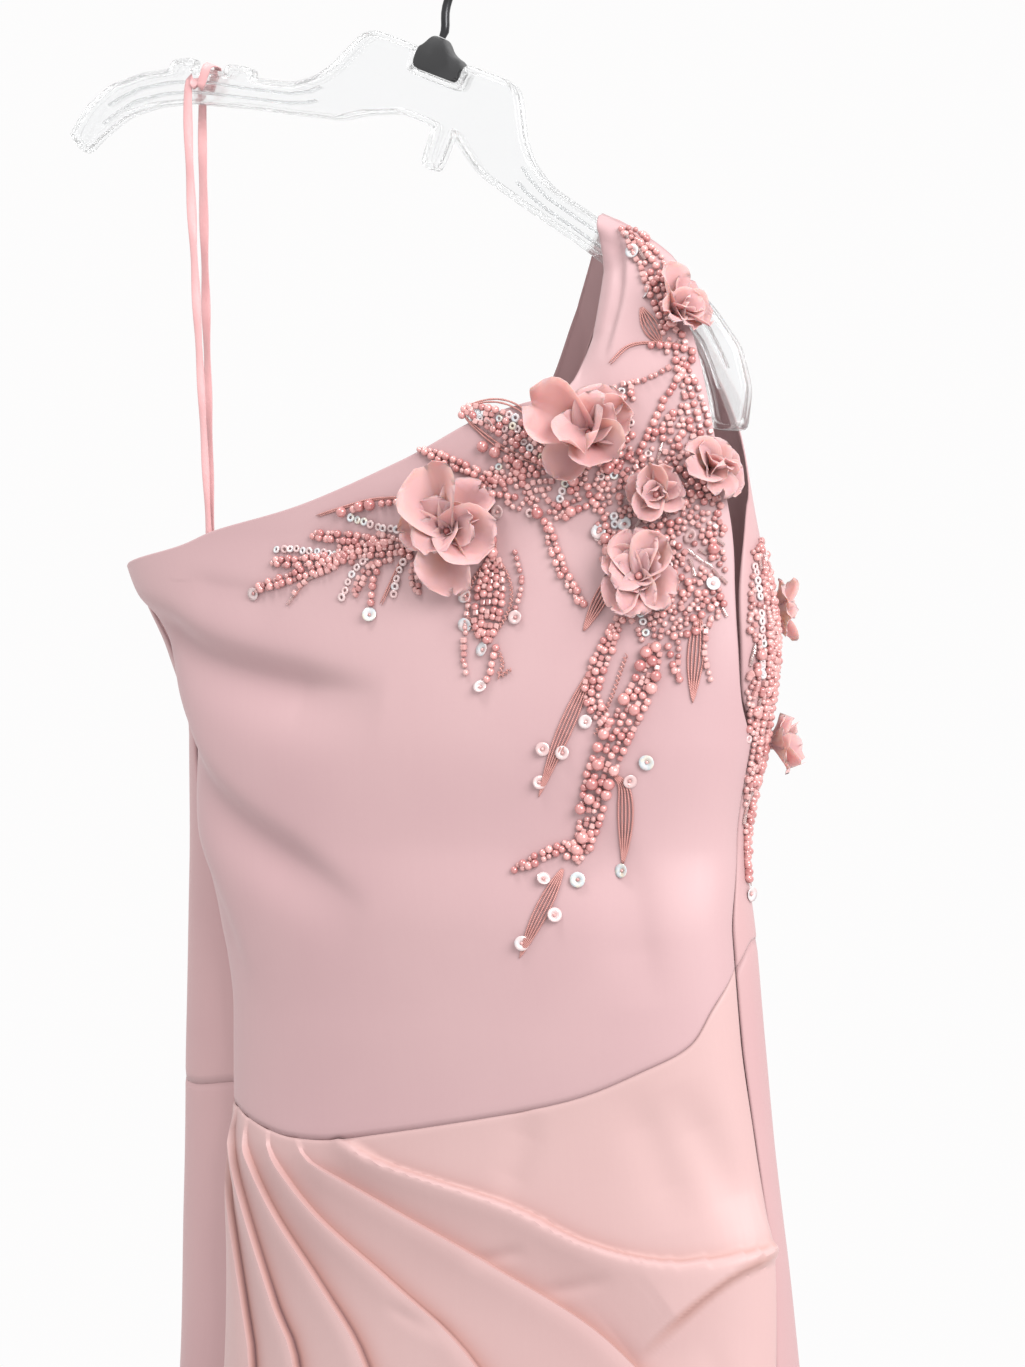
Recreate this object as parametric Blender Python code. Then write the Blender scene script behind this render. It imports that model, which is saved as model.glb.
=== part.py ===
"""One-shoulder dress on a clear hanger, built as closed solids.

Metres, +Z up, +X to the viewer's right, the front of the dress faces -Y.
The origin is the inside top of the wire hook, where a rail holds the whole thing.
Every cloth panel is a region of one wrapped surface, given a wall of even depth.
"""

from math import acos, atan2, ceil, cos, degrees, hypot, pi, radians, sin, sqrt

import bmesh
import bpy
import numpy as np
from mathutils import Vector
from mathutils.bvhtree import BVHTree
from mathutils.geometry import delaunay_2d_cdt

CLOTH = 0.0018            # wall of every cloth panel
SEAM = 0.00018            # half of the gap left open at a seam
LIFT = 0.0005             # clear space under a trim that lies on the cloth
FRONT_SPAN = 0.36         # width of the front in the flat drawing frame
BACK_SCALE = 0.125        # metres of flat drawing frame per radian round the back
ROUND_POWER = 2.5         # squareness of the back half of a section
FRONT_POWER = 0.42        # fullness of the front half of a section
MID_Y = 0.008             # middle of a section, front to back

UNDERARM_Z = -0.403
LEFT_TOP_Z = -0.3195
HEM_Z = -1.630
FOLD_Z = -0.720           # below this the skirt is drawn five times coarser
LOW_SCALE = 0.2
SHOULDER_RADIUS = 0.0092  # the strap rolls over the hanger arm at this radius
STRAP_SLOPE = 0.45
STRAP_CLEAR = 0.0035      # from the arm to the outside of the cloth over it
STRAP_LEAN = 0.78         # level distance to true distance from the shoulder line

BODICE_CELL = 0.0145
SKIRT_CELL = 0.0135
SKIRT_BACK_CELL = 0.0165
ROLL_LINES = (0.0012, 0.0042, 0.0092)   # lines kept along the strap, below its shoulder line
PLEAT_DROP = 0.0032       # width of the steep side of a pleat

# The sections of the dress, top to bottom: height, left and right extent, depth behind and
# before the middle, and how far the left and right seams sit round to the front in degrees.
SECTIONS = (
    (-0.150, -0.190, 0.126, 0.040, 0.040, 15, 6),
    (-0.200, -0.190, 0.1335, 0.040, 0.040, 15, 6),
    (-0.250, -0.190, 0.1468, 0.040, 0.040, 15, 6),
    (-0.305, -0.189, 0.1573, 0.041, 0.040, 16, 6),
    (-0.330, -0.181, 0.1628, 0.041, 0.042, 19, 6),
    (-0.360, -0.1645, 0.166, 0.042, 0.045, 24, 5),
    (-0.403, -0.1505, 0.1605, 0.042, 0.048, 27, 5),
    (-0.450, -0.151, 0.152, 0.038, 0.046, 36, 3),
    (-0.490, -0.1525, 0.157, 0.035, 0.042, 45, 14),
    (-0.535, -0.154, 0.1615, 0.033, 0.038, 51, 15),
    (-0.580, -0.155, 0.166, 0.033, 0.036, 51, 12),
    (-0.640, -0.155, 0.173, 0.038, 0.038, 51, 9),
    (-0.700, -0.154, 0.178, 0.045, 0.042, 52, 12),
    (-0.850, -0.162, 0.193, 0.056, 0.052, 46, 12),
    (-1.100, -0.188, 0.222, 0.073, 0.068, 39, 12),
    (-1.400, -0.226, 0.258, 0.092, 0.086, 34, 12),
    (-1.640, -0.255, 0.288, 0.106, 0.100, 32, 12),
)

# Edges of the panels as (x, z) on the hung dress.
NECK_X, SHOULDER_X = 0.0858, 0.1245
FRONT_NECK = ((-0.140, -0.3113), (-0.106, -0.3028), (-0.054, -0.2925), (0.002, -0.2737),
              (0.038, -0.2575), (0.063, -0.2502), (0.077, -0.2470), (0.0855, -0.2390),
              (0.0888, -0.2120), (0.0882, -0.1840))
BACK_NECK = ((0.0760, -0.1725), (0.0710, -0.1800), (0.0550, -0.2050), (0.0330, -0.2380),
             (0.0000, -0.2620), (-0.0600, -0.2850), (-0.1200, -0.3030))
FRONT_ARMHOLE = ((0.1605, -0.3843), (0.1600, -0.3578), (0.1578, -0.3314), (0.1543, -0.3050),
                 (0.1488, -0.2781), (0.1435, -0.2506), (0.1365, -0.2234), (0.1310, -0.2085))
# The back's armhole edge as (degrees round from the side, z): it lies close behind the front's
# edge low down and opens above.
BACK_WRAP = 25
BACK_ARMHOLE = ((-8, -0.394), (-15, -0.384), (-18, -0.368), (-18, -0.345), (-14, -0.325), (-5, -0.305),
                (5, -0.285), (13, -0.262), (19, -0.240), (24, -0.215), (21, -0.200))
FRONT_WAIST = ((-0.0984, -0.5811), (-0.0896, -0.5846), (-0.0745, -0.5889), (-0.0580, -0.5913),
               (-0.0340, -0.5903), (-0.0056, -0.5850), (0.0314, -0.5774), (0.0663, -0.5696),
               (0.0947, -0.5616), (0.1216, -0.5493), (0.1420, -0.5369), (0.1504, -0.5200))
WAIST_LEFT_Z, WAIST_RIGHT_Z = -0.5790, -0.5040
BACK_WAIST = ((0.00, -0.5720), (0.10, -0.5770), (0.50, -0.5350), (0.93, -0.4920), (1.00, -0.5040))

# Knife pleats of the skirt front, from the waist seam down: height of the fold at the seam,
# half way and low down, then the (x, z) points the fold runs through.
PLEATS = (
    ("side", 0.0026, 0.0042, 0.0020, ((-0.034, -0.5870), (-0.003, -0.5990), (0.060, -0.6122),
                                      (0.099, -0.6270), (0.135, -0.6325), (0.172, -0.6265))),
    ("hip", 0.0026, 0.0045, 0.0060, ((-0.055, -0.5890), (-0.0446, -0.6011), (-0.002, -0.6175),
                                     (0.0536, -0.6397), (0.111, -0.6688), (0.141, -0.7080),
                                     (0.158, -0.800), (0.172, -1.000), (0.205, -1.640))),
    ("thigh", 0.0026, 0.0045, 0.0060, ((-0.0735, -0.5870), (-0.0693, -0.6001), (-0.0406, -0.6251),
                                       (0.0045, -0.6519), (0.0495, -0.6827), (0.080, -0.7300),
                                       (0.099, -0.830), (0.110, -1.000), (0.130, -1.640))),
    ("middle", 0.0024, 0.0045, 0.0060, ((-0.0879, -0.5820), (-0.0874, -0.5986), (-0.066, -0.6263),
                                        (-0.0331, -0.6580), (-0.0055, -0.6889), (0.014, -0.7400),
                                        (0.026, -0.840), (0.030, -1.000), (0.040, -1.640))),
    ("inner", 0.0022, 0.0042, 0.0055, ((-0.0975, -0.5780), (-0.0989, -0.6005), (-0.0796, -0.6361),
                                       (-0.059, -0.6705), (-0.0438, -0.6940), (-0.033, -0.7500),
                                       (-0.027, -0.850), (-0.028, -1.000), (-0.045, -1.640))),
    ("left", 0.0018, 0.0034, 0.0050, ((-0.1035, -0.5770), (-0.1030, -0.6120), (-0.0905, -0.6450),
                                      (-0.078, -0.6772), (-0.0712, -0.6985), (-0.066, -0.7500),
                                      (-0.064, -0.850), (-0.072, -1.000), (-0.120, -1.640))),
)
DRAPE_FOLD = ((0.1725, -0.6265), (0.1595, -0.6348), (0.144, -0.650), (0.132, -0.663), (0.122, -0.6735))
DRAPE_HEIGHT, DRAPE_REACH, DRAPE_DROP = 0.0040, 0.024, 0.0050
FLUTE_HEIGHT = 0.014      # soft folds at the hem
BACK_FLUTES = 5

# Soft troughs pressed into the bodice front: depth, half width, then (x, z) points.
BODICE_TROUGHS = (
    (0.0034, 0.015, ((-0.165, -0.3460), (-0.118, -0.3580), (-0.045, -0.3700))),
    (0.0030, 0.014, ((-0.150, -0.3990), (-0.118, -0.4320), (-0.080, -0.4500), (-0.045, -0.4720),
                     (-0.012, -0.4870), (0.028, -0.5340))),
)

# Raised trims on the bodice front: name, root (x, z), tip (x, z), width, bend to the side.
FRONT_SPRAYS = (
    ("fan_top", 0.0060, -0.2965, -0.0440, -0.3010, 0.0060, 0.0030),
    ("fan_upper", 0.0040, -0.3110, -0.0800, -0.3180, 0.0080, 0.0020),
    ("fan_lower", 0.0030, -0.3235, -0.0830, -0.3380, 0.0090, -0.0020),
    ("fan_leaf", 0.0080, -0.3345, -0.0480, -0.3440, 0.0090, -0.0030),
    ("peak_leaf", 0.0790, -0.2830, 0.0370, -0.2590, 0.0125, 0.0040),
    ("peak_string", 0.0600, -0.2935, 0.0170, -0.2785, 0.0060, 0.0030),
    ("drop_large", 0.0530, -0.3330, 0.0480, -0.3770, 0.0190, 0.0000),
    ("neck_spray", 0.0700, -0.3000, 0.0945, -0.3460, 0.0100, 0.0030),
    ("thread_leaf", 0.1050, -0.3640, 0.0740, -0.4240, 0.0120, -0.0030),
    ("long_drop", 0.1210, -0.3610, 0.1010, -0.4260, 0.0200, 0.0020),
    ("long_tip", 0.0985, -0.4330, 0.0660, -0.5050, 0.0130, -0.0020),
    ("side_tip", 0.1130, -0.4300, 0.1120, -0.4620, 0.0100, 0.0000),
    ("short_drop", 0.1430, -0.3520, 0.1430, -0.3850, 0.0090, 0.0000),
    ("shoulder_edge", 0.1050, -0.1950, 0.1190, -0.2110, 0.0070, 0.0000),
    ("strap_drop", 0.1120, -0.2190, 0.1240, -0.2400, 0.0100, 0.0010),
    ("arch", 0.0970, -0.2440, 0.1190, -0.2540, 0.0070, 0.0030),
    ("yoke", 0.1300, -0.3080, 0.1350, -0.3440, 0.0160, 0.0000),
    ("armhole_row", 0.1320, -0.2400, 0.1385, -0.2660, 0.0070, 0.0000),
    ("side_row", 0.1490, -0.3020, 0.1545, -0.3420, 0.0070, 0.0000),
)
# Raised trim on the back beside the armhole: root (degrees round, z), tip, width.
BACK_SPRAYS = (("back_high", 8.0, -0.3250, 6.0, -0.3820, 0.0090), ("back_low", 6.0, -0.4200, 8.0, -0.4650, 0.0080))
SPRAY_RISE = 0.0030

# Cloth flowers: name, (x, z) on the front or (degrees, z) on the back, radius, height, turn.
FRONT_FLOWERS = (
    ("shoulder", 0.1255, -0.2120, 0.0150, 0.0200, 40),
    ("peak", 0.0965, -0.2660, 0.0225, 0.0130, 0),
    ("large", 0.0290, -0.3085, 0.0240, 0.0135, 0),
    ("small", 0.1260, -0.2930, 0.0150, 0.0120, 0),
    ("armhole", 0.1440, -0.2830, 0.0150, 0.0190, 35),
    ("centre", 0.1210, -0.3310, 0.0200, 0.0125, 0),
)
BACK_FLOWERS = (
    ("side_upper", 24.0, -0.3440, 0.0120, 0.0150, -20),
    ("side_lower", 20.0, -0.4030, 0.0110, 0.0140, -20),
)
PETALS = 5

# Hanger, drawn flat and turned about the middle of its head: top edge outwards, then the
# lower edge back inwards, as (out, up).
HANGER_TURN = 24.0
HANGER_CENTRE = (0.000, -0.078)
HANGER_DEPTH = 0.007
LEFT_REACH, RIGHT_REACH = 0.201, 0.220
ARM_START = 0.050
ARM_TOP = ((0.058, -0.022), (0.066, -0.031), (0.078, -0.038), (0.104, -0.0435), (0.128, -0.0468),
           (0.150, -0.0527), (0.170, -0.0610), (0.188, -0.0728), (0.199, -0.0880), (0.204, -0.1060))
ARM_LOW = ((0.190, -0.1115), (0.183, -0.0995), (0.172, -0.0855), (0.155, -0.0745), (0.137, -0.0670),
           (0.100, -0.0580), (0.070, -0.0520), (0.043, -0.0460), (0.030, -0.0390))
TABS = ((0.140, 0.155, 0.0055), (0.103, 0.121, 0.0045))
NOTCH_HALF, NOTCH_DEEP = 0.0140, 0.0105
PEG_OUT, PEG_HALF, PEG_LOW = 0.0150, 0.0060, -0.0520
RIM, POCKET = 0.0024, 0.0022

HOOK_WIRE = 0.0021        # radius
HOOK_BEND = 0.0190        # radius to the middle of the wire
BASE_SIZE = (0.0270, 0.0090, 0.0120)

LOOP_X, LOOP_WIDE, LOOP_THICK = -0.1125, 0.0055, 0.0011
LOOP_OUT = 0.1300         # where the loop crosses the left arm

MATERIALS = {
    "satin": ((0.76, 0.53, 0.53, 1.0), 0.45, 0.0),
    "satin_skirt": ((0.82, 0.58, 0.56, 1.0), 0.45, 0.0),
    "ribbon": ((0.66, 0.38, 0.39, 1.0), 0.35, 0.0),
    "trim": ((0.62, 0.33, 0.31, 1.0), 0.40, 0.0),
    "petal": ((0.60, 0.32, 0.33, 1.0), 0.60, 0.0),
    "clear_plastic": ((0.90, 0.92, 0.93, 1.0), 0.08, 0.0),
    "black_plastic": ((0.02, 0.02, 0.02, 1.0), 0.40, 0.0),
    "dark_wire": ((0.05, 0.05, 0.05, 1.0), 0.30, 0.9),
}


class Curve:
    """A smooth run through (key, value) points that never overshoots them."""

    def __init__(self, points):
        rows = np.array(sorted(points), dtype=float)
        self.keys, self.values = rows[:, 0], rows[:, 1]
        steps = np.diff(self.keys)
        rates = np.diff(self.values) / steps
        slopes = np.concatenate((rates[:1], np.zeros(len(rates) - 1), rates[-1:]))
        for i in range(1, len(rates)):
            if rates[i - 1] * rates[i] > 0:
                first, second = 2 * steps[i] + steps[i - 1], steps[i] + 2 * steps[i - 1]
                slopes[i] = (first + second) / (first / rates[i - 1] + second / rates[i])
        self.slopes = slopes

    def __call__(self, key):
        key = np.clip(np.asarray(key, dtype=float), self.keys[0], self.keys[-1])
        i = np.clip(np.searchsorted(self.keys, key) - 1, 0, len(self.keys) - 2)
        step = self.keys[i + 1] - self.keys[i]
        t = (key - self.keys[i]) / step
        return ((2 * t**3 - 3 * t**2 + 1) * self.values[i] + (t**3 - 2 * t**2 + t) * step * self.slopes[i]
                + (3 * t**2 - 2 * t**3) * self.values[i + 1] + (t**3 - t**2) * step * self.slopes[i + 1])


SECTION_CURVES = tuple(Curve([(row[0], row[k]) for row in SECTIONS]) for k in range(1, 7))
BACK_WAIST_CURVE = Curve(BACK_WAIST)


def from_hanger(out, up, y=0.0):
    """World point of a spot in the hanger's own flat frame."""
    turn = radians(HANGER_TURN)
    return Vector((HANGER_CENTRE[0] + out * cos(turn) + up * sin(turn), y,
                   HANGER_CENTRE[1] - out * sin(turn) + up * cos(turn)))


def reached(out, reach):
    """Distance out along an arm, stretched so that its tip sits at the given reach."""
    if out <= ARM_START:
        return out
    return ARM_START + (out - ARM_START) * (reach - ARM_START) / (ARM_TOP[-1][0] - ARM_START)


SHOULDER_CURVE = Curve([(spot.x, spot.z) for spot in (
    from_hanger(reached(out, RIGHT_REACH), up + STRAP_CLEAR) for out, up in ARM_TOP[2:9])])


def section(z):
    """Left, right, back depth, front depth and the two seam turns of the section at z."""
    return [curve(z) for curve in SECTION_CURVES]


def signed_power(value, power):
    return np.sign(value) * np.abs(value) ** power


def back_ring(phi, z):
    """Point of the back half at angle phi, before the strap is shaped."""
    left, right, deep, _, _, _ = section(z)
    x = (left + right) / 2 + (right - left) / 2 * signed_power(np.cos(phi), 2 / ROUND_POWER)
    return x, MID_Y + deep * signed_power(np.sin(phi), 2 / ROUND_POWER)


def left_angle(z):
    return pi + np.radians(section(z)[4])


def right_angle(z):
    return -np.radians(section(z)[5])


def strap_depth(x, z):
    """Half the strap's depth below the shoulder line: a roll over the arm, then a slope."""
    down = np.maximum((SHOULDER_CURVE(x) - z) * STRAP_LEAN, 0.0)
    roll = np.sqrt(np.maximum(SHOULDER_RADIUS**2 - np.minimum(down - SHOULDER_RADIUS, 0) ** 2, 0))
    return 2 * SEAM + roll + STRAP_SLOPE * np.maximum(down - SHOULDER_RADIUS, 0)


def soft_least(a, b, reach=0.006):
    """The smaller of two depths, rounded where they cross."""
    near = np.maximum(reach - np.abs(a - b), 0) / reach
    return np.minimum(a, b) - near**2 * reach / 4


def front_share(x, z):
    """Drawing-frame p of a front point given as (x, z)."""
    xl, xr = back_ring(left_angle(z), z)[0], back_ring(right_angle(z), z)[0]
    q = np.clip((x - xl) / (xr - xl), 0, 1)
    return FRONT_SPAN * np.arccos(1 - 2 * q) / pi


def front_base(p, z):
    """Smooth front surface at drawing-frame p and height z."""
    (xl, yl), (xr, yr) = back_ring(left_angle(z), z), back_ring(right_angle(z), z)
    q = (1 - np.cos(pi * np.clip(p / FRONT_SPAN, 0, 1))) / 2
    x = xl + (xr - xl) * q
    y = yl + (yr - yl) * q - section(z)[3] * np.maximum(4 * q * (1 - q), 0) ** FRONT_POWER
    high = np.clip((z + 0.345) / 0.02, 0, 1)
    strap = -soft_least(-y, strap_depth(x, z))
    y = y + (strap - y) * high * high * (3 - 2 * high)
    return np.stack((x, y, z), axis=-1)


def back_base(p, z):
    """Smooth back surface at drawing-frame p and height z."""
    x, y = back_ring(-p / BACK_SCALE, z)
    high = np.clip((z + 0.345) / 0.02, 0, 1)
    strap = np.where(y > 0, soft_least(y, strap_depth(x, z)), y)
    y = y + (strap - y) * high * high * (3 - 2 * high)
    return np.stack((x, y, z), axis=-1)


def back_share(x, z):
    """Drawing-frame p of a point on the rear of the back given as (x, z)."""
    left, right = section(z)[:2]
    turn = signed_power(np.clip((x - (left + right) / 2) / ((right - left) / 2), -1, 1), ROUND_POWER / 2)
    return -np.arccos(turn) * BACK_SCALE


def normals(base, p, z, low, high):
    """Outward unit normals of a base surface, by small steps in the drawing frame."""
    step = 0.0006
    across = base(np.minimum(p + step, high(z)), z) - base(np.maximum(p - step, low(z)), z)
    up = base(p, z + step) - base(p, z - step)
    cross = np.cross(across, up)
    return cross / np.linalg.norm(cross, axis=-1, keepdims=True)


def front_normals(p, z):
    return normals(front_base, p, z, lambda z: 0 * z, lambda z: 0 * z + FRONT_SPAN)


def back_normals(p, z):
    def high(z):
        return (-right_angle(z) + np.where(z > UNDERARM_Z, radians(BACK_WRAP), 0)) * BACK_SCALE

    return -normals(back_base, p, z, lambda z: -left_angle(z) * BACK_SCALE, high)


def smooth_path(points, step):
    """Points every step or so along a smooth run through the given ones."""
    pts = [np.array(p, dtype=float) for p in points]
    pts = [2 * pts[0] - pts[1]] + pts + [2 * pts[-1] - pts[-2]]
    dense = []
    for a, b, c, d in zip(pts, pts[1:], pts[2:], pts[3:]):
        for t in np.linspace(0, 1, 12, endpoint=False):
            dense.append(0.5 * (2 * b + (c - a) * t + (2 * a - 5 * b + 4 * c - d) * t * t
                                + (3 * b - a - 3 * c + d) * t**3))
    dense = np.array(dense + [pts[-2]])
    along = np.concatenate(([0], np.cumsum(np.hypot(*np.diff(dense, axis=0).T))))
    spots = np.linspace(0, along[-1], max(2, ceil(along[-1] / step) + 1))
    return np.stack([np.interp(spots, along, dense[:, k]) for k in (0, 1)], axis=-1)


def side_of_path(p, z, path):
    """Distance from a path, positive to its lower left, and the share travelled along it."""
    best = np.full(np.shape(p), 1e9)
    side, share = np.ones(np.shape(p)), np.zeros(np.shape(p))
    for i, (start, end) in enumerate(zip(path[:-1], path[1:])):
        run = end - start
        t = np.clip(((p - start[0]) * run[0] + (z - start[1]) * run[1]) / (run @ run), 0, 1)
        dx, dz = p - start[0] - t * run[0], z - start[1] - t * run[1]
        gap = np.hypot(dx, dz)
        turn = run[1] * (p - start[0]) - run[0] * (z - start[1])
        near = gap < best
        side = np.where(near, np.where(turn >= 0, 1.0, -1.0), side)
        share = np.where(near, (i + t) / (len(path) - 1), share)
        best = np.where(near, gap, best)
    return best * side, share


def squeeze(z):
    """Drawing-frame height of z: true size above FOLD_Z, squeezed below."""
    return np.where(z > FOLD_Z, z, FOLD_Z + (z - FOLD_Z) * LOW_SCALE)


def unsqueeze(q):
    return np.where(q > FOLD_Z, q, FOLD_Z + (q - FOLD_Z) / LOW_SCALE)


def flat_path(points, step):
    """A front path given in (x, z), in the squeezed drawing frame of the skirt."""
    dense = smooth_path(points, 0.004)
    flat = np.stack((front_share(dense[:, 0], dense[:, 1]), squeeze(dense[:, 1])), axis=-1)
    along = np.concatenate(([0], np.cumsum(np.hypot(*np.diff(flat, axis=0).T))))
    spots = np.linspace(0, along[-1], ceil(along[-1] / step) + 1)
    return np.stack([np.interp(spots, along, flat[:, k]) for k in (0, 1)], axis=-1)


PLEAT_PATHS = [flat_path(row[4], 0.010) for row in PLEATS]
DRAPE_PATH = flat_path(DRAPE_FOLD, 0.010)


def pleat_height(p, z):
    """How far the pleats and flutes stand off the smooth skirt front."""
    q = squeeze(z)
    sharp = 1 - np.clip((FOLD_Z - z) / 0.20, 0, 1)
    low = np.clip((-0.66 - z) / 0.35, 0, 1)
    flute = FLUTE_HEIGHT * low * np.clip((-0.66 - z) / 0.9, 0.25, 1)
    sides = [side_of_path(p, q, path) for path in PLEAT_PATHS]
    crests = [(a + (b - a) * np.clip(2 * t, 0, 1) + (c - b) * np.clip(2 * t - 1, 0, 1)) * sharp
              for (_, a, b, c, _), (_, t) in zip(PLEATS, sides)]
    rise = np.zeros(np.shape(p))
    wave = np.zeros(np.shape(p))
    count = len(PLEATS)
    for k in range(count):
        below = sides[k][0] > 0
        left_gap = p if k == count - 1 else -sides[k + 1][0]
        inside = below & (left_gap >= 0)
        share = np.where(inside, left_gap / np.maximum(left_gap + sides[k][0], 1e-6), 0)
        rise = np.where(inside, crests[k] * share**1.6, rise)
        wave = np.where(inside, 0.5 - 0.5 * np.cos(2 * pi * share), wave)
    beyond = (sides[1][0] < 0) & (q < FOLD_Z)
    share = np.clip(-sides[1][0] / np.maximum(FRONT_SPAN - p - sides[1][0], 1e-6), 0, 1)
    wave = np.where(beyond, 0.5 - 0.5 * np.cos(2 * pi * share), wave)
    for crest, (gap, _) in zip(crests, sides):
        drop = crest * np.clip(1 + gap / PLEAT_DROP, 0, 1)
        rise = np.where(gap <= 0, np.maximum(rise, drop), rise)
    gap, share = side_of_path(p, q, DRAPE_PATH)
    ends = np.clip(6 * np.minimum(share, 1.02 - share) + 0.4, 0, 1)
    upper = np.exp(-(gap / DRAPE_REACH) ** 2)
    lower = np.clip(1 - np.abs(gap) / DRAPE_DROP, 0, 1)
    rise = rise + DRAPE_HEIGHT * ends * np.where(gap < 0, lower, upper) * (np.abs(gap) < 0.06)
    seam_fade = np.clip(np.minimum(p, FRONT_SPAN - p) / 0.006, 0, 1)
    return rise * (0.35 + 0.65 * seam_fade) + flute * wave * seam_fade


def trough_depth(p, z):
    """How far the soft troughs press into the bodice front."""
    total = np.zeros(np.shape(p))
    x = front_base(p, z)[..., 0]
    for deep, half, points in BODICE_TROUGHS:
        gap, share = side_of_path(x, z, smooth_path(points, 0.01))
        total += deep * np.exp(-(gap / half) ** 2) * np.clip(5 * np.minimum(share, 1 - share), 0, 1)
    return total


def strap_turn(x, z):
    """How far the strap's neck edge turns back towards the body."""
    near = np.clip((0.104 - x) / 0.016, 0, 1)
    tall = np.clip((z + 0.250) / 0.03, 0, 1) * np.clip((-0.168 - z) / 0.02, 0, 1)
    return 0.010 * near**1.5 * tall


def bodice_front(p, z):
    """Outer points and normals of the bodice front."""
    base, facing = front_base(p, z), front_normals(p, z)
    outer = base - facing * trough_depth(p, z)[..., None]
    outer[..., 1] += strap_turn(base[..., 0], z)
    return outer, facing


def bodice_back(p, z):
    return back_base(p, z), back_normals(p, z)


def skirt_front(p, q):
    """Outer points and normals of the skirt front, in the squeezed drawing frame."""
    z = unsqueeze(q)
    facing = front_normals(p, z)
    return front_base(p, z) + facing * pleat_height(p, z)[..., None], facing


def skirt_back(p, q):
    """Outer points and normals of the skirt back, in the squeezed drawing frame."""
    z = unsqueeze(q)
    facing = back_normals(p, z)
    left, right = left_angle(z), right_angle(z)
    share = (left + p / BACK_SCALE) / (left - right)
    low = np.clip((-0.62 - z) / 0.9, 0, 1)
    wave = FLUTE_HEIGHT * low * (0.5 - 0.5 * np.cos(2 * pi * BACK_FLUTES * share))
    return back_base(p, z) + facing * wave[..., None], facing


def triangulate(outline, creases, cell):
    """Points and triangles of a flat region, kept to its outline and crease lines."""
    points, edges = [], []
    for path, closed in [(outline, True)] + [(crease, False) for crease in creases]:
        start, size = len(points), len(path)
        points.extend(tuple(spot) for spot in path)
        edges.extend((start + i, start + (i + 1) % size) for i in range(size if closed else size - 1))
    fixed = np.array(points)
    low, high = fixed.min(axis=0), fixed.max(axis=0)
    for j, q in enumerate(np.arange(low[1] + 0.6 * cell, high[1], cell)):
        for p in np.arange(low[0] + cell * (0.5 + 0.5 * (j % 2)), high[0], cell):
            if np.hypot(fixed[:, 0] - p, fixed[:, 1] - q).min() > 0.62 * cell:
                points.append((float(p), float(q)))
    spots, _, faces, *_ = delaunay_2d_cdt([Vector(spot) for spot in points], edges,
                                          [list(range(len(outline)))], 1, 1e-7)
    used = sorted({i for face in faces for i in face})
    order = {old: new for new, old in enumerate(used)}
    flat = np.array([tuple(spots[i]) for i in used])
    return flat, [tuple(order[i] for i in face) for face in faces]


def finish(name, bm, material):
    """Turn a bmesh into a named object with a face-out closed surface."""
    bmesh.ops.recalc_face_normals(bm, faces=bm.faces)
    mesh = bpy.data.meshes.new(name)
    bm.to_mesh(mesh)
    bm.free()
    mesh.materials.append(bpy.data.materials[material])
    thing = bpy.data.objects.new(name, mesh)
    bpy.context.scene.collection.objects.link(thing)
    return thing


def panel(name, outline, creases, cell, surface, material, top_gap=False):
    """A cloth panel: a flat region wrapped on its surface and given an inner face."""
    flat, faces = triangulate(outline, creases, cell)
    outer, facing = surface(flat[:, 0], flat[:, 1])
    inner = outer - CLOTH * facing
    if top_gap:
        side = np.sign(np.median(outer[:, 1]))
        for ring in (outer, inner):
            near = (ring[:, 2] > -0.215) & (ring[:, 0] > 0.07)
            ring[near, 1] = side * np.maximum(side * ring[near, 1], SEAM)
    bm = bmesh.new()
    tops = [bm.verts.new(spot) for spot in outer]
    lows = [bm.verts.new(spot) for spot in inner]
    for face in faces:
        bm.faces.new([tops[i] for i in face])
        bm.faces.new([lows[i] for i in reversed(face)])
    edge_use = {}
    for face in faces:
        for a, b in zip(face, face[1:] + face[:1]):
            edge_use.setdefault(frozenset((a, b)), []).append((a, b))
    for uses in edge_use.values():
        if len(uses) == 1:
            a, b = uses[0]
            bm.faces.new((tops[b], tops[a], lows[a], lows[b]))
    return finish(name, bm, material)


def shifted(path, by):
    """A path moved to its own left by a distance in the drawing frame."""
    path = np.array(path, dtype=float)
    run = np.gradient(path, axis=0)
    run /= np.maximum(np.hypot(run[:, 0], run[:, 1])[:, None], 1e-9)
    return path + by * np.stack((-run[:, 1], run[:, 0]), axis=-1)


def front_point(x, z):
    """Drawing-frame spot of a front point given as (x, z)."""
    return float(front_share(x, z)), float(z)


def back_point(x, z):
    return float(back_share(x, z)), float(z)


def front_edge(side, z):
    """Spot on the left (0) or right (1) seam of the front, half a seam gap inside it."""
    return (SEAM if side == 0 else FRONT_SPAN - SEAM), float(z)


def back_edge(side, z):
    """Spot on the left (0) or right (1) seam of the back, half a seam gap inside it."""
    if side == 0:
        return float(-left_angle(z) * BACK_SCALE + 2 * SEAM), float(z)
    return float(-right_angle(z) * BACK_SCALE - 2 * SEAM), float(z)


def heights(start, end, step):
    """Shared heights along a side seam between two ends, so that both panels meet in step."""
    low, high = min(start, end), max(start, end)
    ladder = [-k * step for k in range(1, 400) if low + 0.3 * step < -k * step < high - 0.3 * step]
    run = [high] + ladder + [low]
    return run if start > end else run[::-1]


def front_waist():
    """The front waist seam in the drawing frame, left to right."""
    spots = [(0.0, WAIST_LEFT_Z)] + [front_point(*row) for row in FRONT_WAIST] + [(FRONT_SPAN, WAIST_RIGHT_Z)]
    return smooth_path(spots, 0.0125)


def back_waist():
    """The back waist seam in the drawing frame, left to right."""
    spots = []
    for share in np.linspace(0, 1, 34):
        z = float(BACK_WAIST_CURVE(share))
        left, right = back_edge(0, z)[0], back_edge(1, z)[0]
        spots.append((left + (right - left) * share, z))
    return np.array(spots)


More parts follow.
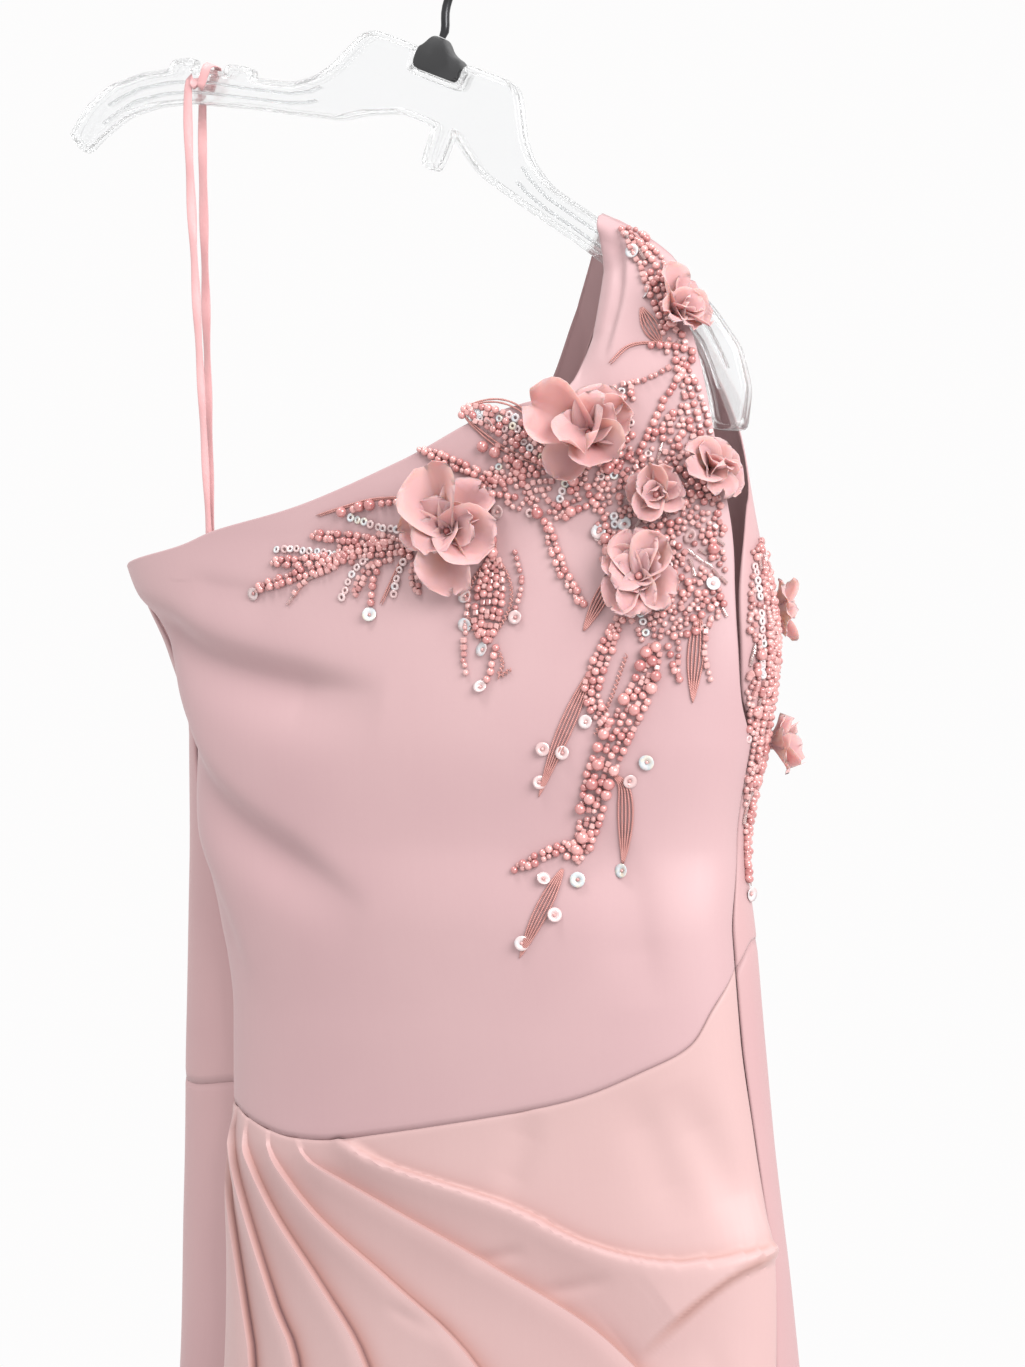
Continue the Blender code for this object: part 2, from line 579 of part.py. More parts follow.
def seam_side(waist, edge, gap):
    """One side of a waist seam, its ends set on the side seams of the panel."""
    side = shifted(waist, gap)
    side[0], side[-1] = edge(0, waist[0, 1] + 2 * gap), edge(1, waist[-1, 1] + 2 * gap)
    return side


def roll_creases(spot):
    """Lines along the strap where it rolls over the hanger arm."""
    return [[spot(x, float(SHOULDER_CURVE(x)) - down / STRAP_LEAN) for x in np.linspace(NECK_X - 0.010, 0.131, 8)]
            for down in ROLL_LINES]


def neck_and_shoulder(neck, armhole, spot, step=0.0125):
    """Paths of one half of the bodice: up the armhole, in along the shoulder, down the neck."""
    shoulder = [(x, float(SHOULDER_CURVE(x))) for x in np.linspace(SHOULDER_X, NECK_X, 6)]
    up = smooth_path(list(armhole) + [spot(*shoulder[0])], step)
    top = [spot(*row) for row in shoulder]
    down = smooth_path([top[-1]] + [spot(*row) for row in neck], step)
    return up, top, down


def outline_bodice_front():
    waist = seam_side(front_waist(), front_edge, SEAM)
    side = [front_edge(1, z) for z in heights(waist[-1, 1], UNDERARM_Z, 0.0145)]
    armhole = [front_edge(1, UNDERARM_Z)] + [front_point(*row) for row in FRONT_ARMHOLE]
    up, top, down = neck_and_shoulder(FRONT_NECK[::-1] + ((-0.1785, LEFT_TOP_Z),), armhole, front_point)
    down = np.vstack((down[:-1], [front_edge(0, LEFT_TOP_Z)]))
    left = [front_edge(0, z) for z in heights(LEFT_TOP_Z, waist[0, 1], 0.0145)]
    return join(waist, side, up, top, down, left)


def outline_bodice_back():
    waist = seam_side(back_waist(), back_edge, SEAM)
    side = [back_edge(1, z) for z in heights(waist[-1, 1], UNDERARM_Z, 0.0145)]
    armhole = [back_edge(1, UNDERARM_Z)] + [(-radians(turn) * BACK_SCALE, z) for turn, z in BACK_ARMHOLE]
    up, top, down = neck_and_shoulder(BACK_NECK, armhole, back_point, 0.009)
    left = [back_edge(0, z) for z in heights(LEFT_TOP_Z, waist[0, 1], 0.0145)]
    corner = smooth_path([tuple(down[-1]), back_edge(0, LEFT_TOP_Z)], 0.012)
    return join(waist, side, up, top, down, corner, left)


def outline_skirt(waist, edge):
    """Outline of a skirt half below its waist seam, in the squeezed drawing frame."""
    waist = seam_side(waist, edge, -SEAM)
    hem = float(squeeze(HEM_Z))
    sides = []
    for side, start in ((0, waist[0, 1]), (1, waist[-1, 1])):
        run = heights(float(start), hem, SKIRT_CELL)
        sides.append([(edge(side, float(unsqueeze(q)))[0], q) for q in run])
    low = [(p, hem) for p in np.linspace(sides[0][-1][0], sides[1][-1][0], 37)]
    return join(sides[0], low, sides[1][::-1], waist[::-1])


def join(*paths):
    """One closed outline from paths laid end to end, without doubled spots."""
    run = []
    for path in paths:
        for spot in path:
            if not run or hypot(spot[0] - run[-1][0], spot[1] - run[-1][1]) > 0.0008:
                run.append((float(spot[0]), float(spot[1])))
    while hypot(run[0][0] - run[-1][0], run[0][1] - run[-1][1]) < 0.0008:
        run.pop()
    return run


def pleat_creases():
    """Crest and foot of every pleat, as far down as it is sharp."""
    creases = []
    for path in PLEAT_PATHS + [DRAPE_PATH]:
        sharp = path[path[:, 1] > float(squeeze(-0.90))]
        toward = PLEAT_DROP if path is not DRAPE_PATH else -DRAPE_DROP
        creases.extend((sharp, shifted(sharp, toward)))
    return creases


def build_panels():
    """The four cloth panels of the dress."""
    bodice = panel("bodice_front", outline_bodice_front(), roll_creases(front_point), BODICE_CELL, bodice_front, "satin", True)
    rear = panel("bodice_back", outline_bodice_back(), roll_creases(back_point), BODICE_CELL, bodice_back, "satin", True)
    panel("skirt_front", outline_skirt(front_waist(), front_edge), pleat_creases(), SKIRT_CELL,
          skirt_front, "satin_skirt")
    panel("skirt_back", outline_skirt(back_waist(), back_edge), [], SKIRT_BACK_CELL, skirt_back, "satin")
    return bodice, rear


def on_cloth(tree, spot, facing):
    """The spot moved onto the built panel along its facing direction."""
    spot, facing = Vector(spot), Vector(facing)
    hit = tree.ray_cast(spot + facing * 0.02, -facing, 0.04)[0]
    return hit if hit is not None else spot


def front_seat(x, z):
    outer, facing = bodice_front(np.array([float(front_share(x, z))]), np.array([z]))
    return outer[0], facing[0]


def back_seat(turn, z):
    outer, facing = bodice_back(np.array([-radians(turn) * BACK_SCALE]), np.array([z]))
    return outer[0], facing[0]


def build_spray(name, tree, seat, root, tip, wide, bend, stretch=1.0):
    """A raised leaf of trim that follows the cloth from its root to its tip."""
    run = np.subtract(tip, root)
    length = hypot(run[0] * stretch, run[1])
    along = run / hypot(*run)
    across = np.array((-along[1], along[0]))
    count = max(4, ceil(length / 0.0075) + 1)
    bm = bmesh.new()
    rows = []
    for t in np.linspace(0, 1, count):
        middle = np.add(root, run * t) + across * bend * 4 * t * (1 - t) / stretch
        half = wide / 2 * max(0.30, sin(pi * (0.12 + 0.80 * t)))
        row = []
        for place, rise in ((-1, 0.0010), (0, SPRAY_RISE), (1, 0.0010)):
            offset = across * half * place
            spot, facing = seat(middle[0] + offset[0] / stretch, middle[1] + offset[1])
            base = on_cloth(tree, spot, facing)
            row.append((bm.verts.new(base + Vector(facing) * LIFT),
                        bm.verts.new(base + Vector(facing) * (LIFT + rise))))
        rows.append(row)
    for a, b in zip(rows, rows[1:]):
        for i in (0, 1):
            bm.faces.new((a[i][1], b[i][1], b[i + 1][1], a[i + 1][1]))
            bm.faces.new((a[i + 1][0], b[i + 1][0], b[i][0], a[i][0]))
        for i in (0, 2):
            bm.faces.new((a[i][0], b[i][0], b[i][1], a[i][1]))
    for end in (rows[0], rows[-1]):
        for i in (0, 1):
            bm.faces.new((end[i][0], end[i][1], end[i + 1][1], end[i + 1][0]))
    return finish("trim_" + name, bm, "trim")


def build_flower(name, tree, seat, place, radius, tall, swing):
    """A cloth flower: one lobed cup of petals standing on the cloth."""
    spot, facing = seat(*place)
    base = on_cloth(tree, spot, facing)
    facing = Vector(facing)
    turn = radians(swing)
    axis = Vector((facing.x * cos(turn) - facing.y * sin(turn), facing.x * sin(turn) + facing.y * cos(turn),
                   facing.z)).normalized()
    east = Vector((0, 0, 1)).cross(axis).normalized()
    north = axis.cross(east)
    wall, steps = 0.0017, PETALS * 4
    rings = ((0.26, 0.32), (0.60, 0.66), (1.00, 1.00))
    bm = bmesh.new()
    foot = base + facing * LIFT
    tops = [bm.verts.new(foot + axis * 0.0026)]
    lows = [bm.verts.new(foot)]
    faces = []
    for out, up in rings:
        ring_top, ring_low = [], []
        for k in range(steps):
            angle = 2 * pi * k / steps
            lobe = 0.74 + 0.26 * abs(cos(PETALS * angle / 2)) if out > 0.3 else 0.9
            reach = radius * out * lobe
            high = 0.0026 + (tall - 0.0026) * up * (0.86 + 0.14 * cos(PETALS * angle))
            spot = foot + (east * cos(angle) + north * sin(angle)) * reach + axis * high
            ring_top.append(bm.verts.new(spot))
            ring_low.append(bm.verts.new(spot - axis * wall))
        faces.append((ring_top, ring_low))
    first_top, first_low = faces[0]
    for k in range(steps):
        n = (k + 1) % steps
        bm.faces.new((tops[0], first_top[k], first_top[n]))
        bm.faces.new((lows[0], first_low[n], first_low[k]))
        for (top_a, low_a), (top_b, low_b) in zip(faces, faces[1:]):
            bm.faces.new((top_a[k], top_b[k], top_b[n], top_a[n]))
            bm.faces.new((low_a[n], low_b[n], low_b[k], low_a[k]))
        last_top, last_low = faces[-1]
        bm.faces.new((last_top[k], last_low[k], last_low[n], last_top[n]))
    return finish("flower_" + name, bm, "petal")


def build_trims(bodice, rear):
    """Every raised trim and flower, seated on the built bodice panels."""
    front_tree, back_tree = (BVHTree.FromPolygons([v.co.copy() for v in thing.data.vertices],
                                                  [tuple(f.vertices) for f in thing.data.polygons])
                             for thing in (bodice, rear))
    for name, xr, zr, xt, zt, wide, bend in FRONT_SPRAYS:
        build_spray(name, front_tree, front_seat, (xr, zr), (xt, zt), wide, bend)
    for name, turn, z, turn_tip, z_tip, wide in BACK_SPRAYS:
        build_spray(name, back_tree, back_seat, (turn, z), (turn_tip, z_tip), wide, 0.0, 0.0009)
    for name, x, z, radius, tall, swing in FRONT_FLOWERS:
        build_flower(name, front_tree, front_seat, (x, z), radius, tall, swing)
    for name, turn, z, radius, tall, swing in BACK_FLOWERS:
        build_flower(name, back_tree, back_seat, (turn, z), radius, tall, swing)


def arm_top_height(out):
    return float(np.interp(out, [row[0] for row in ARM_TOP], [row[1] for row in ARM_TOP]))


def hanger_outline():
    """Closed outline of the hanger in its own frame, clockwise from the notch in its head."""
    head = [(NOTCH_HALF, 0.0), (0.0400, 0.0), (0.0470, -0.0030), (0.0510, -0.0090)]
    right = head + [(reached(a, RIGHT_REACH), b) for a, b in ARM_TOP + ARM_LOW]
    peg = [(0.0240, -0.0350), (PEG_OUT + PEG_HALF, -0.0335), (PEG_OUT + PEG_HALF - 0.0008, PEG_LOW),
           (PEG_OUT - PEG_HALF + 0.0008, PEG_LOW), (PEG_OUT - PEG_HALF, -0.0325), (-0.0120, -0.0325)]
    top = [spot for spot in ARM_TOP if not any(a - 0.001 < spot[0] < b + 0.001 for a, b, _ in TABS)]
    for a, b, tall in TABS:
        top += [(a, arm_top_height(a)), (a + 0.0008, arm_top_height(a) + tall),
                (b - 0.0008, arm_top_height(b) + tall), (b, arm_top_height(b))]
    left = head + [(reached(a, LEFT_REACH), b) for a, b in sorted(top)]
    left += [(reached(a, LEFT_REACH), b) for a, b in ARM_LOW]
    notch = [(-NOTCH_HALF, -NOTCH_DEEP), (NOTCH_HALF, -NOTCH_DEEP)]
    return right + peg + [(-a, b) for a, b in reversed(left)] + notch


def inset(outline, by):
    """A closed outline moved inwards by a distance, with mitred corners."""
    spots = np.array(outline)
    ahead, behind = np.roll(spots, -1, axis=0) - spots, spots - np.roll(spots, 1, axis=0)
    turning = np.sum(spots[:, 0] * np.roll(spots[:, 1], -1) - np.roll(spots[:, 0], -1) * spots[:, 1])
    inward = 1.0 if turning > 0 else -1.0
    first, second = (run / np.hypot(run[:, 0], run[:, 1])[:, None] for run in (behind, ahead))
    first, second = (inward * np.stack((-run[:, 1], run[:, 0]), axis=-1) for run in (first, second))
    mitre = (first + second) / (1 + np.sum(first * second, axis=1))[:, None]
    return [tuple(spot) for spot in spots + by * mitre]


def plate(name, outline, depth, edge, pocket, material):
    """A flat plate in the hanger's frame with softened edges and, if asked, a pocket each side."""
    loops = [(outline, depth / 2 - edge), (inset(outline, edge), depth / 2)]
    if pocket:
        loops += [(inset(outline, RIM), depth / 2), (inset(outline, RIM + 0.0004), depth / 2 - pocket)]
    bm = bmesh.new()
    front = [[bm.verts.new(from_hanger(a, b, -y)) for a, b in loop] for loop, y in loops]
    rear = [[bm.verts.new(from_hanger(a, b, y)) for a, b in loop] for loop, y in loops]
    rings = front[::-1] + rear
    size = len(outline)
    for ring_a, ring_b in zip(rings, rings[1:]):
        for k in range(size):
            n = (k + 1) % size
            bm.faces.new((ring_a[k], ring_a[n], ring_b[n], ring_b[k]))
    caps = [bm.faces.new(list(reversed(rings[0]))), bm.faces.new(rings[-1])]
    bm.normal_update()
    bmesh.ops.triangulate(bm, faces=caps)
    return finish(name, bm, material)


def build_hanger():
    """The clear hanger: a flat bar with a rim all round and a thin web between."""
    return plate("hanger", hanger_outline(), HANGER_DEPTH, 0.0012, POCKET, "clear_plastic")


def build_hook_base():
    """The black block that holds the hook in the notch of the head."""
    wide, deep, tall = BASE_SIZE
    low = -NOTCH_DEEP + 0.0003
    outline = [(-wide / 2, low), (-wide / 2, low + tall - 0.0020), (-0.0110, low + tall),
               (-0.0075, low + tall + 0.0055), (-0.0015, low + tall + 0.0055), (0.0040, low + tall),
               (wide / 2, low + tall - 0.0020), (wide / 2, low)]
    plate("hook_base", outline, deep, 0.0010, 0.0, "black_plastic")
    return low + tall + 0.0055


def smooth_run(points, step):
    """Even points along a smooth run through space."""
    pts = [Vector(p) for p in points]
    pts = [2 * pts[0] - pts[1]] + pts + [2 * pts[-1] - pts[-2]]
    dense = []
    for a, b, c, d in zip(pts, pts[1:], pts[2:], pts[3:]):
        for k in range(14):
            t = k / 14
            dense.append(0.5 * (2 * b + (c - a) * t + (2 * a - 5 * b + 4 * c - d) * t * t
                                + (3 * b - a - 3 * c + d) * t**3))
    dense.append(pts[-2])
    along = [0.0]
    for a, b in zip(dense, dense[1:]):
        along.append(along[-1] + (b - a).length)
    spots = np.linspace(0, along[-1], ceil(along[-1] / step) + 1)
    return [Vector([float(np.interp(s, along, [p[k] for p in dense])) for k in range(3)]) for s in spots]


def sweep(name, centres, sides, material):
    """A closed bar along centres; sides(i, direction) gives the corner offsets of station i."""
    bm = bmesh.new()
    rings = []
    for i, centre in enumerate(centres):
        way = (centres[min(i + 1, len(centres) - 1)] - centres[max(i - 1, 0)]).normalized()
        rings.append([bm.verts.new(centre + corner) for corner in sides(i, way)])
    size = len(rings[0])
    for a, b in zip(rings, rings[1:]):
        for k in range(size):
            n = (k + 1) % size
            bm.faces.new((a[k], a[n], b[n], b[k]))
    bm.faces.new(list(reversed(rings[0])))
    bm.faces.new(rings[-1])
    return finish(name, bm, material)


def build_hook_wire(base_top):
    """The wire hook, open to the left; its inside top is the origin."""
    start = from_hanger(-0.0045, base_top + 0.0003)
    centre = HOOK_WIRE - HOOK_BEND
    bend = [(HOOK_BEND * cos(radians(angle)), 0, centre + HOOK_BEND * sin(radians(angle)))
            for angle in range(-10, 181, 10)]
    rise = from_hanger(-0.0045, base_top + 0.0043)
    points = [start, rise, (0.0010, 0, -0.0560), (0.0050, 0, -0.0460), (0.0120, 0, -0.0345)] + bend
    points += [(-0.0188, 0, -0.0225), (-0.0200, 0, -0.0275)]
    turn = radians(HANGER_TURN)

    def ring(i, way):
        if i == 0:
            way = Vector((sin(turn), 0, cos(turn)))
        side = way.cross(Vector((0, 1, 0))).normalized()
        return [(side * cos(a) + Vector((0, 1, 0)) * sin(a)) * HOOK_WIRE
                for a in (2 * pi * k / 8 for k in range(8))]

    return sweep("hook_wire", smooth_run(points, 0.0060), ring, "dark_wire")


def build_loop():
    """The ribbon hanging loop: over the left arm, both ends inside the bodice front."""
    out = -reached(LOOP_OUT, LEFT_REACH)
    top = arm_top_height(LOOP_OUT)
    clear = HANGER_DEPTH / 2 + 0.0008 + LOOP_THICK / 2
    over = top + 0.0020 + LOOP_THICK / 2
    z_low, z_edge = -0.3180, -0.3010
    near = float(front_base(front_share(LOOP_X, z_low), z_low)[1]) + CLOTH + 0.0006 + LOOP_THICK / 2
    edge = float(front_base(front_share(LOOP_X, z_edge), z_edge)[1]) + CLOTH + 0.0006 + LOOP_THICK / 2
    ends = []
    for sign, extra in ((-1, 0.0), (1, LOOP_THICK + 0.0012)):
        ends.append([Vector((LOOP_X, near + extra, z_low)), Vector((LOOP_X, edge + 0.0004 + extra, z_edge)),
                     from_hanger(out, top - 0.0260, sign * (clear + 0.0012)),
                     from_hanger(out, top - 0.0100, sign * clear), from_hanger(out, top - 0.0010, sign * clear),
                     from_hanger(out, over - 0.0004, sign * (clear - 0.0012))])
    points = ends[0] + list(reversed(ends[1]))
    count = len(points)

    def section_corners(i, way):
        high = min(i, count - 1 - i) >= 2
        turn = radians(HANGER_TURN) if high else 0.0
        wide = Vector((cos(turn), 0, -sin(turn)))
        thick = way.cross(wide).normalized()
        wide = thick.cross(way).normalized()
        half = (LOOP_WIDE if high else LOOP_WIDE * 0.75) / 2
        return [wide * a * half + thick * b * LOOP_THICK / 2 for a, b in ((-1, -1), (1, -1), (1, 1), (-1, 1))]

    return sweep("hanging_loop", points, section_corners, "ribbon")


def main():
    for thing in list(bpy.data.objects):
        bpy.data.objects.remove(thing, do_unlink=True)
    for name, (colour, rough, metal) in MATERIALS.items():
        material = bpy.data.materials.new(name)
        material.use_nodes = True
        shader = material.node_tree.nodes["Principled BSDF"]
        shader.inputs["Base Color"].default_value = colour
        shader.inputs["Roughness"].default_value = rough
        shader.inputs["Metallic"].default_value = metal
    bodice, rear = build_panels()
    build_trims(bodice, rear)
    build_hanger()
    build_hook_wire(build_hook_base())
    build_loop()


main()
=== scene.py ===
"""Looks of the one-shoulder dress: satin crepe panels, chiffon flowers, beading and a clear hanger.

Metres, +Z up, the front of the dress faces -Y, the origin is the inside top of the wire hook.
"""

import logging
from dataclasses import dataclass, field
from enum import Enum
from functools import lru_cache
from itertools import product
from math import ceil, cos, pi, radians, sin
from typing import Any, Callable, Iterable, Sequence

import bmesh
import bpy
import numpy as np
from mathutils import Matrix, Vector

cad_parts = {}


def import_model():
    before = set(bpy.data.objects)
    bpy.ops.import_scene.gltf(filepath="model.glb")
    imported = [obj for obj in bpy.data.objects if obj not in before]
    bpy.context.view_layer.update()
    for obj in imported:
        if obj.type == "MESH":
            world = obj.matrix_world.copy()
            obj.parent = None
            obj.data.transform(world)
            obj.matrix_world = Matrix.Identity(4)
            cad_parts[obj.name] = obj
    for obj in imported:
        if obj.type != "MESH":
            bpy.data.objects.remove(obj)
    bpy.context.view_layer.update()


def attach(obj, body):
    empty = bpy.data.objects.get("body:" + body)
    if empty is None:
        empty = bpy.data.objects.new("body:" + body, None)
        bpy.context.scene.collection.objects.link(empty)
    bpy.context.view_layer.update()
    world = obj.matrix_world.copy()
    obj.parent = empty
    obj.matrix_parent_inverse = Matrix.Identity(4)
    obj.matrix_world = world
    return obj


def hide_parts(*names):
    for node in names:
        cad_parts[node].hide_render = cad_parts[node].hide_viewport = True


log = logging.getLogger("dress")
Array = np.ndarray
Spot = tuple[float, float]
Colour = tuple[float, float, float]
Surface = Callable[[Array, Array], tuple[Array, Array]]
Creases = tuple[tuple[float, float, tuple[Spot, ...]], ...]


class Curve:
    """A smooth run through (key, value) rows that never overshoots them."""

    def __init__(self, points: Iterable[Spot]) -> None:
        """Args: points: the rows, in any order."""
        rows = np.array(sorted(points), dtype=float)
        self.keys, self.values = rows[:, 0], rows[:, 1]
        steps = np.diff(self.keys)
        rates = np.diff(self.values) / steps
        slopes = np.concatenate((rates[:1], np.zeros(len(rates) - 1), rates[-1:]))
        for i in range(1, len(rates)):
            if rates[i - 1] * rates[i] > 0:
                first, second = 2 * steps[i] + steps[i - 1], steps[i] + 2 * steps[i - 1]
                slopes[i] = (first + second) / (first / rates[i - 1] + second / rates[i])
        self.spots = np.linspace(self.keys[0], self.keys[-1], 6000)
        i = np.clip(np.searchsorted(self.keys, self.spots) - 1, 0, len(self.keys) - 2)
        step = self.keys[i + 1] - self.keys[i]
        t = (self.spots - self.keys[i]) / step
        start = (2 * t**3 - 3 * t**2 + 1) * self.values[i] + (t**3 - 2 * t**2 + t) * step * slopes[i]
        end = (3 * t**2 - 2 * t**3) * self.values[i + 1] + (t**3 - t**2) * step * slopes[i + 1]
        self.heights = start + end

    def __call__(self, key: Any) -> Array:
        """Returns: the value at each key."""
        return np.interp(key, self.spots, self.heights)


def smooth_line(points: Sequence[Sequence[float]], step: float) -> Array:
    """Even points along a smooth run through the given ones.

    Args:
        points: the points to pass through, of any dimension.
        step: the wanted distance between two of the result.
    Returns:
        One row for each point of the run.
    """
    pts = [np.array(p, dtype=float) for p in points]
    pts = [2 * pts[0] - pts[1]] + pts + [2 * pts[-1] - pts[-2]]
    dense = []
    for a, b, c, d in zip(pts, pts[1:], pts[2:], pts[3:]):
        for t in np.linspace(0, 1, 12, endpoint=False):
            dense.append(0.5 * (2 * b + (c - a) * t + (2 * a - 5 * b + 4 * c - d) * t * t
                                + (3 * b - a - 3 * c + d) * t**3))
    dense = np.array(dense + [pts[-2]])
    along = travelled(dense)
    spots = np.linspace(0, along[-1], max(2, ceil(along[-1] / step) + 1))
    return np.stack([np.interp(spots, along, dense[:, k]) for k in range(dense.shape[1])], axis=-1)


def side_of_line(p: Array, z: Array, line: Array) -> tuple[Array, Array, Array]:
    """Where points lie beside a line.

    Args:
        p: first coordinates.
        z: second coordinates.
        line: the line's points.
    Returns:
        The distance, positive to the line's lower left, the share travelled along it, and the
        line's unit normal there, towards the positive side.
    """
    starts, runs = line[:-1], np.diff(line, axis=0)
    p, z = np.asarray(p, dtype=float), np.asarray(z, dtype=float)
    dx, dz = p[..., None] - starts[:, 0], z[..., None] - starts[:, 1]
    t = np.clip((dx * runs[:, 0] + dz * runs[:, 1]) / (runs**2).sum(axis=1), 0, 1)
    gaps = np.hypot(dx - t * runs[:, 0], dz - t * runs[:, 1])
    pick = gaps.argmin(axis=-1)[..., None]
    gap, t, dx, dz = (np.take_along_axis(part, pick, axis=-1)[..., 0] for part in (gaps, t, dx, dz))
    pick = pick[..., 0]
    turn = runs[pick, 1] * dx - runs[pick, 0] * dz
    normals = -left_of(unit(runs))
    return gap * np.where(turn >= 0, 1.0, -1.0), (pick + t) / len(runs), normals[pick]


@lru_cache(maxsize=None)
def crease_line(points: tuple[Spot, ...]) -> Array:
    """Returns: the points of a crease, kept once worked out."""
    return smooth_line(points, 0.01)


def clip01(value: Any) -> Array:
    """Returns: the value held between 0 and 1."""
    return np.clip(value, 0.0, 1.0)


def signed_power(value: Array, power: float) -> Array:
    """Returns: the value raised to a power with its sign kept."""
    return np.sign(value) * np.abs(value) ** power


def unit(rows: Array) -> Array:
    """Returns: vectors brought to the length of one."""
    return rows / np.maximum(np.linalg.norm(rows, axis=-1, keepdims=True), 1e-9)


def travelled(points: Array) -> Array:
    """Returns: how far along a line each of its points lies."""
    return np.concatenate(([0], np.cumsum(np.linalg.norm(np.diff(points, axis=0), axis=1))))


def left_of(way: Array) -> Array:
    """Returns: flat directions turned a quarter to the left."""
    return np.stack((-way[:, 1], way[:, 0]), axis=1)


def nearest(line: Array, spot: Any) -> int:
    """Returns: which point of a flat line lies nearest to a spot."""
    return int(np.hypot(*(line - np.asarray(spot)).T).argmin())


def to_ends(count: int) -> Array:
    """Returns: how many steps each of a row of points is from the row's nearer end."""
    steps = np.arange(count)
    return np.minimum(steps, steps[::-1])


@dataclass(frozen=True)
class Ramp:
    """A change from 0 to 1 that starts at a place and takes a run, downwards if that is negative."""

    start: float
    run: float

    def __call__(self, value: Any) -> Array:
        """Returns: the share of the run travelled at each value, held between 0 and 1."""
        return clip01((value - self.start) / self.run)

    def eased(self, value: Any) -> Array:
        """Returns: the same with soft ends."""
        share = self(value)
        return share * share * (3 - 2 * share)


@dataclass
class HangerPlan:
    """Sizes of the moulded hanger, drawn flat and turned about the middle of its head.

    The top and the low edge of an arm are rows of (out, up), and a tab holds start, end and height.
    """

    turn: float = radians(24.0)
    centre: Spot = (0.0, -0.078)
    depth: float = 0.007
    left_reach: float = 0.201
    right_reach: float = 0.22
    arm_start: float = 0.05
    top: tuple[Spot, ...] = (
        (0.058, -0.022), (0.066, -0.031), (0.078, -0.038), (0.104, -0.0435), (0.128, -0.0468),
        (0.15, -0.0527), (0.17, -0.061), (0.188, -0.0728), (0.199, -0.088), (0.204, -0.106))
    low: tuple[Spot, ...] = (
        (0.19, -0.1115), (0.183, -0.0995), (0.172, -0.0855), (0.155, -0.0745), (0.137, -0.067),
        (0.1, -0.058), (0.07, -0.052), (0.043, -0.046), (0.03, -0.039))
    tabs: tuple[tuple[float, float, float], ...] = ((0.14, 0.155, 0.0055), (0.103, 0.121, 0.0045))
    notch_half: float = 0.014
    notch_deep: float = 0.0105
    peg_out: float = 0.015
    peg_half: float = 0.006
    peg_low: float = -0.052

    def point(self, out: float, up: float, y: float = 0.0) -> Vector:
        """Returns: the world point of a spot in the hanger's own flat frame."""
        return Vector((self.centre[0] + out * cos(self.turn) + up * sin(self.turn), y,
                       self.centre[1] - out * sin(self.turn) + up * cos(self.turn)))

    def reached(self, out: float, reach: float) -> float:
        """Returns: the distance out along an arm, stretched so that its tip sits at the reach."""
        if out <= self.arm_start:
            return out
        drawn = self.top[-1][0] - self.arm_start
        return self.arm_start + (out - self.arm_start) * (reach - self.arm_start) / drawn

    def top_height(self, out: float) -> float:
        """Returns: the height of an arm's top edge in the flat frame."""
        return float(np.interp(out, [row[0] for row in self.top], [row[1] for row in self.top]))


